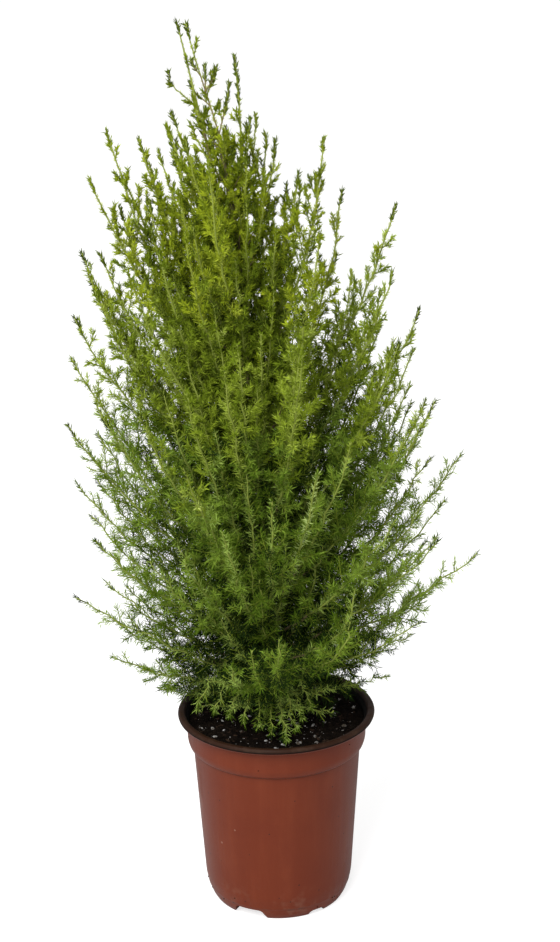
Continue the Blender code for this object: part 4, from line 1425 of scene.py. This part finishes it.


# %% [markdown]
# The pot is thin moulded plastic in two layers. Outside it is terracotta brown, a little shiny, with
# faint upright streaks from the mould, scuffs, and dust low down; painted shade darkens the crease
# under the collar, the band under the rim's lip and the groove above the foot. The rim and the inside
# show the other layer, which is dark brown, and the inside below the rim is painted almost black, a
# painted shade.

# %% Finishes of the pot
def terracotta_finish():
    finish = Finish("terracotta_plastic", (0.150, 0.0250, 0.0075), 0.40, 0.22)
    streaks = finish.mask(BLOTCHES, Scale=60.0, Stretch=(1, 1, 0.07), Low=0.42, High=0.70)
    finish.lay((0.170, 0.0310, 0.0100), streaks)
    clouds = finish.mask(BLOTCHES, Scale=22.0, Low=0.40, High=0.66)
    finish.lay((0.132, 0.0205, 0.0065), clouds, 0.5)
    dust = finish.mask(BLOTCHES, Scale=95.0, Low=0.50, High=0.72)
    low = finish.mask(BAND, Low=-0.01, High=0.014, Fade=0.020)
    finish.lay((0.250, 0.130, 0.085), finish.both(dust, low), 0.30)
    # Painted shade: a thin dark line in the crease under the collar.
    under = finish.mask(BAND, Low=0.1375, High=0.1378, Fade=0.0014)
    finish.lay((0.070, 0.012, 0.005), under, 0.55)
    # Painted shade: a darker band along the top of the outside, under the rim's lip.
    rim_lip_shade = finish.mask(BAND, Low=POT_HEIGHT - 0.0064, High=POT_HEIGHT, Fade=0.0012)
    finish.lay((0.060, 0.014, 0.007), rim_lip_shade, 0.35)
    # Painted shade along the small groove above the foot, in patches where the dust is.
    groove_shade = finish.mask(BAND, Low=0.0102, High=0.0108, Fade=0.0010)
    finish.lay((0.060, 0.012, 0.005), finish.both(groove_shade, dust), 0.9)
    dots = finish.mask(SPECKS, Scale=420.0, Share=0.012, Size=0.30)
    finish.lay((0.048, 0.014, 0.008), dots)
    pale = finish.mask(SPECKS, Scale=170.0, Share=0.012, Size=0.16)
    finish.lay((0.330, 0.170, 0.120), pale, 0.6)
    grain = finish.mask(BLOTCHES, Scale=900.0, Low=0.2, High=0.8)
    finish.roughen(finish.both(streaks, clouds), 0.36, 0.52)
    finish.relief(finish.both(grain, finish.both(streaks, 2.0), "ADD"), 0.00006, 0.6)
    return finish.material


def lining_finish():
    finish = Finish("dark_lining", (0.028, 0.0115, 0.0062), 0.52, 0.08)
    worn = finish.mask(BLOTCHES, Scale=130.0, Low=0.45, High=0.70)
    top = finish.mask(BAND, Low=POT_HEIGHT - 0.0030, High=POT_HEIGHT, Fade=0.0020)
    finish.lay((0.046, 0.025, 0.016), finish.both(worn, top))
    # Painted shade: below the rim the inside of the pot is made almost black.
    deep = finish.mask(BAND, Low=0.0, High=POT_HEIGHT - 0.0034, Fade=0.0014)
    finish.lay((0.004, 0.003, 0.0025), deep)
    dots = finish.mask(SPECKS, Scale=420.0, Share=0.05, Size=0.30)
    finish.lay((0.012, 0.008, 0.006), dots)
    finish.roughen(finish.both(worn, deep, "MAXIMUM"), 0.45, 0.80)
    finish.relief(finish.mask(BLOTCHES, Scale=700.0, Low=0.2, High=0.8), 0.00008, 0.6)
    return finish.material


# %% [markdown]
# The pot is a turned shape. Its outline has only the corners that matter, and each corner
# is then eased with a small arc, as a mould's are. Turning it gives a closed shell, and
# six channels are cut out of its foot for drainage, tall and low in turn.

# %% The pot's outline
POT_WALL = 0.0016
RIM_DEPTH = 0.0052
RIM_WIDTH = 0.0054
COLLAR_RADIUS = RIM_RADIUS - 0.0073
COLLAR_TAPER = 0.0006
COLLAR_DEPTH = 0.0250
SHOULDER_DEPTH = 0.0315
WALL_TOP_RADIUS = 0.0700
WALL_FOOT_RADIUS = 0.0622
CHAMFER_HEIGHT = 0.0200
FOOT_RADIUS = 0.0553
FLOOR_THICKNESS = 0.0115
FLOOR_CORNER = 0.0035
POT_SIDES = 160
ARC_STEPS = 5
ARC_ROOM = 0.45


def eased(outline):
    """Points of an outline of (radius, height, bend) with an arc at each corner."""
    points = []
    corners = [np.array(corner[:2]) for corner in outline]
    for number, (corner, (_, _, bend)) in enumerate(zip(corners, outline)):
        if bend == 0:
            points.append(corner)
            continue
        before, after = corners[number - 1] - corner, corners[number + 1] - corner
        room = ARC_ROOM * min(np.linalg.norm(before), np.linalg.norm(after))
        start = corner + unit(before) * min(bend, room)
        end = corner + unit(after) * min(bend, room)
        for share in np.linspace(0, 1, ARC_STEPS + 1):
            near = start * (1 - share) ** 2 + corner * 2 * share * (1 - share)
            points.append(near + end * share ** 2)
    return points


def inner_radius(height):
    """The shell's inner radius at a height, from its floor to its rim."""
    shoulder, collar = POT_HEIGHT - SHOULDER_DEPTH, POT_HEIGHT - COLLAR_DEPTH
    heights = (CHAMFER_HEIGHT, shoulder, collar, POT_HEIGHT)
    radii = (WALL_FOOT_RADIUS, WALL_TOP_RADIUS, COLLAR_RADIUS - COLLAR_TAPER, COLLAR_RADIUS)
    return float(np.interp(height, heights, radii)) - POT_WALL


def pot_outline():
    """Corners of (radius, height, bend): from the underside's middle, out, up and inside."""
    shoulder, collar = POT_HEIGHT - SHOULDER_DEPTH, POT_HEIGHT - COLLAR_DEPTH
    rim_foot = POT_HEIGHT - RIM_DEPTH
    return (
        (0.0, 0.0, 0),
        (FOOT_RADIUS, 0.0, 0.0010),
        (0.0579, 0.0045, 0.0012),
        (0.0600, 0.0104, 0.0006),
        (0.0605, 0.0114, 0.0006),
        (WALL_FOOT_RADIUS, CHAMFER_HEIGHT, 0.0030),
        (WALL_TOP_RADIUS, shoulder, 0.0007),
        (COLLAR_RADIUS - 0.0022, shoulder + 0.0018, 0.0024),
        (COLLAR_RADIUS - COLLAR_TAPER, collar, 0.0030),
        (COLLAR_RADIUS, rim_foot, 0.0006),
        (RIM_RADIUS - 0.0008, rim_foot, 0.0012),
        (RIM_RADIUS, POT_HEIGHT - 0.0028, 0.0016),
        (RIM_RADIUS - 0.0014, POT_HEIGHT, 0.0016),
        (RIM_RADIUS - RIM_WIDTH, POT_HEIGHT - 0.0004, 0.0012),
        (RIM_RADIUS - RIM_WIDTH - 0.0010, POT_HEIGHT - 0.0028, 0.0010),
        (inner_radius(rim_foot), rim_foot - 0.0006, 0.0010),
        (inner_radius(collar), collar, 0.0020),
        (inner_radius(shoulder), shoulder, 0.0020),
        (inner_radius(CHAMFER_HEIGHT), CHAMFER_HEIGHT, 0.0020),
        (inner_radius(CHAMFER_HEIGHT) - FLOOR_CORNER, FLOOR_THICKNESS, 0.0020),
        (0.0, FLOOR_THICKNESS, 0),
    )


def turned(points, sides):
    """Corners and faces of a closed shape turned about Z; both ends lie on the axis."""
    radii, heights = np.array(points).T
    angles = 2 * math.pi * np.arange(sides) / sides
    ring = np.stack([np.cos(angles), np.sin(angles)], -1)
    rings = radii[1:-1, None, None] * ring
    levels = np.broadcast_to(heights[1:-1, None, None], (*rings.shape[:2], 1))
    body = np.concatenate([rings, levels], -1).reshape(-1, 3)
    corners = np.concatenate([body, [[0, 0, heights[0]], [0, 0, heights[-1]]]])
    number = np.arange(len(body)).reshape(-1, sides)
    lower, upper = number[:-1], number[1:]
    walls = np.stack([lower, np.roll(lower, -1, 1), np.roll(upper, -1, 1), upper], -1)
    first, last = number[0], number[-1]
    start = np.stack([np.full(sides, len(body)), np.roll(first, -1), first], -1)
    end = np.stack([np.full(sides, len(body) + 1), last, np.roll(last, -1)], -1)
    return corners, [walls.reshape(-1, 4), start, end]


# %% Drainage channels
CHANNELS = 6
CHANNEL_FIRST_ANGLE = math.radians(244)
CHANNEL_SIZES = ((0.0340, 0.0088), (0.0187, 0.0045))
CHANNEL_TOP_SHARE = 0.68
CHANNEL_REACH = (0.034, 0.075)
CHANNEL_BELOW = 0.004
CHANNEL_CORNER = 0.003
POINTS_OUTSIDE_RIM = 2
SHARP = math.radians(38)


def channel_section(width, height):
    """Half outline of a channel's opening, with an eased upper corner, then mirrored."""
    half, top = width / 2, width / 2 * CHANNEL_TOP_SHARE
    side = eased(((half, -CHANNEL_BELOW, 0), (top, height, CHANNEL_CORNER), (0.0, height, 0)))[:-1]
    return side + [point * [-1, 1] for point in reversed(side)]


def build_channel_cutter():
    corners, walls, ends = [], [], []
    for number in range(CHANNELS):
        section = np.array(channel_section(*CHANNEL_SIZES[number % 2]))
        angle = CHANNEL_FIRST_ANGLE + number * 2 * math.pi / CHANNELS
        out = np.array([math.cos(angle), math.sin(angle), 0])
        aside = np.array([-math.sin(angle), math.cos(angle), 0])
        flat = section[:, :1] * aside + section[:, 1:] * [0, 0, 1]
        near, far = flat + out * CHANNEL_REACH[0], flat + out * CHANNEL_REACH[1]
        first = sum(len(group) for group in corners)
        count = len(section)
        corners += [near, far]
        inner = first + np.arange(count)
        beside = np.roll(inner, -1)
        walls.append(np.stack([inner, inner + count, beside + count, beside], -1))
        ends += [inner[None], (inner + count)[None, ::-1]]
    cutter = add_mesh("channel_cutter", np.concatenate(corners), [np.concatenate(walls), *ends])
    shape = bmesh.new()
    shape.from_mesh(cutter.data)
    bmesh.ops.recalc_face_normals(shape, faces=shape.faces)
    shape.to_mesh(cutter.data)
    shape.free()
    return cutter


def build_pot():
    points = eased(pot_outline())
    corners, faces = turned(points, POT_SIDES)
    pot = add_mesh("pot_shell", corners, faces, terracotta_finish(), lining_finish())
    radii = np.array(points[1:-1])[:, 0]
    widest = int(np.argmax(radii))
    lined = np.arange(len(radii) - 1) >= widest - POINTS_OUTSIDE_RIM
    slots = np.zeros(len(pot.data.polygons), np.int32)
    slots[:len(lined) * POT_SIDES] = lined.repeat(POT_SIDES)
    slots[-POT_SIDES:] = 1
    pot.data.polygons.foreach_set("material_index", slots)
    cutter = build_channel_cutter()
    cut = pot.modifiers.new("drainage", "BOOLEAN")
    cut.operation = "DIFFERENCE"
    cut.solver = "EXACT"
    cut.object = cutter
    applied(pot)
    bpy.data.objects.remove(cutter)
    pot.data.shade_smooth()
    pot.data.set_sharp_from_angle(angle=SHARP)
    return pot


pot_shell = build_pot()

# %% [markdown]
# The potting mix is a closed plug that follows the inside of the pot. Its top is domed a
# little and lumpy. The lumps come from many waves of one size added up, each with its own
# direction, which is a simple stand-in for noise on plain arrays.

# %% The plug of potting mix
SOIL_CLEAR = 0.00045
SOIL_RINGS = 70
SOIL_LUMP = 0.00070
LUMP_SIZE = 0.009
CRUMB_SIZE = 0.0032
LUMP_SEED = 3
HIGHEST_LUMP = 0.0009
LUMP_FADE = 0.004
FLOOR_CLEAR = 0.0003
DOME_MARGIN = 0.0006
DOME_SPREAD = 1.6
EDGE_MARGIN = 0.0001
RIPPLE_RANGE = (0.6, 1.6)


def ripples(points, size, seed, waves=28):
    """Smooth bumps of about one size, near -1 to 1, that never repeat."""
    own_dice = np.random.default_rng(seed)
    ways = unit(own_dice.normal(size=(waves, 3)))
    ways = ways * own_dice.uniform(*RIPPLE_RANGE, (waves, 1)) * 2 * math.pi / size
    phases = own_dice.uniform(0, 2 * math.pi, waves)
    return np.sin(points @ ways.T + phases).sum(-1) * math.sqrt(0.5 / waves)


def soil_finish():
    finish = Finish("potting_mix", (0.0060, 0.0042, 0.0032), 0.95, 0.03)
    fibres = finish.mask(BLOTCHES, Scale=420.0, Low=0.42, High=0.68)
    finish.lay((0.017, 0.0115, 0.0080), fibres)
    damp = finish.mask(BLOTCHES, Scale=60.0, Low=0.40, High=0.62)
    finish.lay((0.0030, 0.0022, 0.0018), damp, 0.6)
    finish.relief(finish.mask(BLOTCHES, Scale=1100.0, Low=0.2, High=0.8), 0.0004)
    return finish.material


soil_material = soil_finish()


def build_soil():
    base = FLOOR_THICKNESS + FLOOR_CLEAR
    shoulder, collar = POT_HEIGHT - SHOULDER_DEPTH, POT_HEIGHT - COLLAR_DEPTH
    outline = [(0.0, base), (inner_radius(CHAMFER_HEIGHT) - FLOOR_CORNER - SOIL_CLEAR, base)]
    for height in (CHAMFER_HEIGHT, shoulder, collar, SOIL_EDGE):
        outline.append((inner_radius(height) - SOIL_CLEAR, height))
    edge = outline[-1][0]
    for share in np.linspace(1, 0, SOIL_RINGS)[1:]:
        dome = (SOIL_TOP - SOIL_EDGE - DOME_MARGIN) * min(1.0, DOME_SPREAD * (1 - share))
        outline.append((edge * share, SOIL_EDGE + dome))
    corners, faces = turned(outline, POT_SIDES)
    radius = np.hypot(corners[:, 0], corners[:, 1])
    top = (corners[:, 2] >= SOIL_EDGE) & (radius < edge - EDGE_MARGIN)
    fade = np.clip((edge - radius) / LUMP_FADE, 0, 1) * top
    lumps = SOIL_LUMP * ripples(corners, LUMP_SIZE, LUMP_SEED)
    lumps = lumps + SOIL_LUMP / 2 * ripples(corners, CRUMB_SIZE, LUMP_SEED + 1)
    corners[:, 2] += np.minimum(lumps, HIGHEST_LUMP) * fade
    return add_mesh("soil_plug", corners, faces, soil_material)


soil_plug = build_soil()

# %% [markdown]
# Crumbs of peat, chips of bark and grains of white perlite lie on the mix. Each kind is
# scattered by one node tree over a copy of the mix's top: points by a seed, a small lump on
# each point, turned and sized at random, realized, then pushed about by noise so that no
# two are alike. A few crumbs stick to the outside of the pot too.

# %% The node tree that scatters grains
def scatter_tree():
    tree, given = new_tree(
        "scatter", Density="Float", Seed="Int", Smallest="Float", Largest="Float",
        Flatness="Vector", Rough="Float", Grain="Float", Detail="Int", Material="Material",
    )
    spread = add_node(tree, "GeometryNodeDistributePointsOnFaces", {
        "Mesh": given["Geometry"], "Density": given["Density"], "Seed": given["Seed"],
    })
    lump = add_node(tree, "GeometryNodeMeshIcoSphere", {"Radius": 0.5, "Subdivisions": given["Detail"]})
    shaped = add_node(tree, "GeometryNodeTransform", {
        "Geometry": lump.outputs["Mesh"], "Scale": given["Flatness"],
    })
    turn = add_node(tree, "FunctionNodeRandomValue", {
        "Min": (-0.5, -0.5, -math.pi), "Max": (0.5, 0.5, math.pi), "Seed": given["Seed"],
    }, data_type="FLOAT_VECTOR")
    size = add_node(tree, "FunctionNodeRandomValue", {
        2: given["Smallest"], 3: given["Largest"], "Seed": given["Seed"],
    }, data_type="FLOAT")
    grains = copies(
        tree, spread.outputs["Points"], shaped.outputs["Geometry"],
        turn.outputs["Value"], size.outputs[1],
    )
    noise = add_node(tree, "ShaderNodeTexNoise", {"Scale": given["Grain"]})
    centred = add_node(
        tree, "ShaderNodeVectorMath", {0: noise.outputs["Color"], 1: (0.5, 0.5, 0.5)},
        operation="SUBTRACT",
    )
    push = add_node(
        tree, "ShaderNodeVectorMath", {0: centred.outputs["Vector"], "Scale": given["Rough"]},
        operation="SCALE",
    )
    shift = add_node(tree, "GeometryNodeSetPosition", {
        "Geometry": grains, "Offset": push.outputs["Vector"],
    })
    end_tree(tree, shift.outputs["Geometry"], given["Material"])
    return tree


# %% Crumbs, bark chips and perlite
BED_MARGIN = 0.0036
BED_TRUNK_MARGIN = 0.0030
TOP_DIP = 0.003
FACING = 0.5
GRAIN_INPUTS = ("Density", "Seed", "Smallest", "Largest", "Flatness", "Rough", "Grain", "Detail")
GRAINS = {
    "peat_crumbs": (150000.0, 11, 0.0012, 0.0030, (1.0, 0.85, 0.55), 0.0012, 900.0, 1),
    "bark_chips": (9000.0, 12, 0.0030, 0.0060, (1.0, 0.42, 0.24), 0.0011, 500.0, 2),
    "perlite_grains": (4600.0, 13, 0.0008, 0.0052, (1.0, 0.72, 0.52), 0.0026, 400.0, 2),
    "perlite_dust": (20000.0, 14, 0.0005, 0.0015, (1.0, 0.80, 0.70), 0.0008, 900.0, 1),
    "crumbs_at_foot": (3600.0, 21, 0.0005, 0.0019, (1.0, 0.9, 0.8), 0.0010, 900.0, 1),
    "crumbs_under_rim": (1500.0, 22, 0.0005, 0.0019, (1.0, 0.9, 0.8), 0.0010, 900.0, 1),
}
STUCK_BANDS = {
    "crumbs_at_foot": (0.004, 0.022),
    "crumbs_under_rim": (POT_HEIGHT - 0.018, POT_HEIGHT - 0.006),
}


def chip_finish():
    finish = Finish("bark_chips", (0.020, 0.011, 0.007), 0.85, 0.08)
    finish.lay((0.045, 0.027, 0.016), finish.mask(BLOTCHES, Scale=300.0, Low=0.45, High=0.7))
    finish.relief(finish.mask(BLOTCHES, Scale=1500.0, Low=0.2, High=0.8), 0.0002)
    return finish.material


def perlite_finish():
    finish = Finish("perlite", (0.47, 0.46, 0.45), 0.9, 0.10)
    finish.lay((0.08, 0.065, 0.05), finish.mask(BLOTCHES, Scale=260.0, Low=0.38, High=0.58))
    finish.relief(finish.mask(BLOTCHES, Scale=2500.0, Low=0.2, High=0.8), 0.0002)
    return finish.material


def part_of(source, name, fits):
    """A new object of the faces whose middle and normal fit."""
    shape = bmesh.new()
    shape.from_mesh(source.data)
    spare = [face for face in shape.faces if not fits(face.calc_center_median(), face.normal)]
    bmesh.ops.delete(shape, geom=spare, context="FACES")
    mesh = bpy.data.meshes.new(name)
    shape.to_mesh(mesh)
    shape.free()
    return placed(name, mesh)


def on_bed(middle, normal):
    """True for the mix's top, away from the pot's wall and the trunk."""
    from_trunk = (middle - Vector((*TRUNK_FOOT, 0))).xy.length
    level = normal.z > FACING and middle.z > SOIL_EDGE - TOP_DIP
    inside = middle.xy.length < inner_radius(SOIL_EDGE) - BED_MARGIN
    return level and inside and from_trunk >= TRUNK_RADIUS + ROOT_FLARE + BED_TRUNK_MARGIN


def scatter(name, piece, finish):
    """Fill a patch with grains of one kind."""
    realized(piece, GRAIN_TREE, Material=finish, **dict(zip(GRAIN_INPUTS, GRAINS[name])))
    return piece


def build_grains():
    perlite = perlite_finish()
    finishes = (soil_material, chip_finish(), perlite, perlite)
    pieces = []
    for name, finish in zip(GRAINS, finishes):
        piece = scatter(name, part_of(soil_plug, name, on_bed), finish)
        piece.data.shade_smooth()
        pieces.append(piece)
    return pieces


def build_stuck_crumbs():
    """Crumbs of the mix that stick to the outside of the pot."""
    pieces = []
    for name, (low, high) in STUCK_BANDS.items():

        def on_band(middle, normal):
            faces_out = normal.xy.dot(middle.xy.normalized()) > FACING
            return faces_out and low < middle.z < high

        pieces.append(scatter(name, part_of(pot_shell, name, on_band), soil_material))
    return pieces


GRAIN_TREE = scatter_tree()
grain_pieces = build_grains() + build_stuck_crumbs()

# %% [markdown]
# The trunk and the boughs have thin bark with fine upright cracks, brown low down and
# greener where the wood is young. The cracks are real relief: the radius of each ring rises
# and falls with waves that are stretched along the limb.

# %% Bark
BARK_STEPS = 240
BARK_SIDES = 30
BARK_DEPTH = 0.00038
BARK_SIZE = 0.0042
BARK_STRETCH = 0.16
BARK_SLIMMING = 0.28
FINE_DEPTH = 0.6
FINE_SIZE = 0.45
BARK_MOST = 1.6
TRUNK_SEED = 31


def bark_finish():
    finish = Finish("bark", (0.095, 0.052, 0.030), 0.82, 0.25)
    cracks = finish.mask(BLOTCHES, Scale=480.0, Stretch=(1, 1, 0.14), Low=0.44, High=0.60)
    finish.lay((0.205, 0.135, 0.085), cracks)
    patches = finish.mask(BLOTCHES, Scale=110.0, Stretch=(1, 1, 0.4), Low=0.42, High=0.66)
    finish.lay((0.055, 0.030, 0.020), patches, 0.55)
    young = finish.mask(BAND, Low=0.46, High=0.80, Fade=0.12)
    finish.lay((0.160, 0.150, 0.060), young, 0.75)
    finish.roughen(cracks, 0.88, 0.70)
    finish.relief(cracks, 0.0004, 0.8)
    return finish.material


bark_material = bark_finish()


def limb(name, centres, radii, sides, depth, seed):
    """A closed round limb along centres, with bark relief of a depth."""
    corners, faces = tubes(centres[None], radii[None], sides)
    out = unit(corners - np.repeat(centres, sides, axis=0))
    stretched = corners * [1, 1, BARK_STRETCH]
    fine = FINE_DEPTH * ripples(stretched, BARK_SIZE * FINE_SIZE, seed + 1)
    rise = np.clip(ripples(stretched, BARK_SIZE, seed) + fine, -BARK_MOST, BARK_MOST)
    corners = corners + out * (depth * rise)[:, None]
    return add_mesh(name, corners, faces, bark_material)


def build_trunk():
    heights = np.linspace(TRUNK_BASE, TRUNK_TOP, BARK_STEPS + 1)
    slimness = 1 - BARK_SLIMMING * (heights - TRUNK_BASE) / (TRUNK_TOP - TRUNK_BASE)
    radii = trunk_radius(heights) * slimness
    return limb("trunk_bark", trunk_centre(heights), radii, BARK_SIDES, BARK_DEPTH, TRUNK_SEED)


trunk_bark = build_trunk()

# %% Boughs with bark
BOUGH_SHARE = 0.29
BOUGH_RADIUS = 0.0031
BOUGH_TIP_RADIUS = 0.0023
BOUGH_STEPS = 60
BOUGH_SIDES = 14
BOUGH_DEPTH = BARK_DEPTH * 0.4
BOUGH_SEED = 40


def build_boughs():
    """One bark piece for each bough of the plain model, on the first part of its shoot."""
    pieces = {}
    for name in sorted(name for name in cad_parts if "_bough_" in name):
        side, number = name.split("_bough_")
        row = next(key for key in plan if key.startswith(f"{side}_plume_{number}"))
        shares = np.linspace(0, BOUGH_SHARE, BOUGH_STEPS + 1)
        which = np.full(len(shares), list(plan).index(row))
        centres, _ = at(shoots, which, shares)
        radii = np.linspace(BOUGH_RADIUS, BOUGH_TIP_RADIUS, len(shares))
        pieces[name] = limb(f"{name}_bark", centres, radii, BOUGH_SIDES, BOUGH_DEPTH, BOUGH_SEED)
    return pieces


bough_pieces = build_boughs()

# %% Rides and replacements
foliage_pieces = needle_pieces + [stems, sprays, twigs]
mix_pieces = [soil_plug] + grain_pieces
for piece in foliage_pieces + mix_pieces + [pot_shell, trunk_bark] + list(bough_pieces.values()):
    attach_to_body(piece, "root")
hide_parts(*plan)
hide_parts("pot")
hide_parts("soil")
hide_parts("trunk")
for name, piece in bough_pieces.items():
    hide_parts(name)


# %% [markdown]
# The plant stands on a plain pale floor in soft light. A large lamp above and to the left
# does most of the work, a tall dim one low in front adds a little on the pot, and the air
# itself gives some light from all round.

# %% Floor, light and air
FLOOR_RADIUS = 12.0
FLOOR_SIDES = 64
FLOOR_GLOW = 0.70
AIR_STRENGTH = 0.55
LAMPS_AIM = Vector((0, 0, 0.35))


def floor_finish():
    """A pale floor that looks bright, but throws less light back up than it shows."""
    material = plain_finish("floor", (0.60, 0.60, 0.60), 0.95, 0.1)
    tree = material.node_tree
    shader = tree.nodes["Principled BSDF"]
    seen = add_node(tree, "ShaderNodeLightPath").outputs["Is Camera Ray"]
    shader.inputs["Emission Color"].default_value = (1.0, 1.0, 1.0, 1.0)
    strength = math_node(tree, "MULTIPLY", seen, FLOOR_GLOW)
    tree.links.new(strength, shader.inputs["Emission Strength"])
    return material


def add_floor():
    angles = np.linspace(0, 2 * math.pi, FLOOR_SIDES, endpoint=False)
    corners = np.stack([np.cos(angles), np.sin(angles), np.zeros(FLOOR_SIDES)], 1) * FLOOR_RADIUS
    floor = add_mesh("floor", corners, [np.arange(FLOOR_SIDES)[None]], floor_finish())


def add_light(name, place, size, power):
    light = bpy.data.lights.new(name, "AREA")
    light.shape = "RECTANGLE"
    light.size, light.size_y = size
    light.energy = power
    lamp = placed(name, light)
    lamp.location = place
    lamp.rotation_euler = (LAMPS_AIM - lamp.location).to_track_quat("-Z", "Y").to_euler()


def add_air():
    world = bpy.data.worlds.new("studio")
    world.use_nodes = True
    ground = world.node_tree.nodes["Background"]
    ground.inputs["Color"].default_value = (1.0, 1.0, 1.0, 1.0)
    ground.inputs["Strength"].default_value = AIR_STRENGTH
    bpy.context.scene.world = world


add_floor()
add_air()
add_light("key", (-1.0, -1.9, 2.5), (2.0, 2.0), 95.0)
add_light("sheen", (-0.55, -2.1, 0.55), (0.25, 1.2), 6.0)
bpy.context.scene.view_settings.view_transform = "Standard"
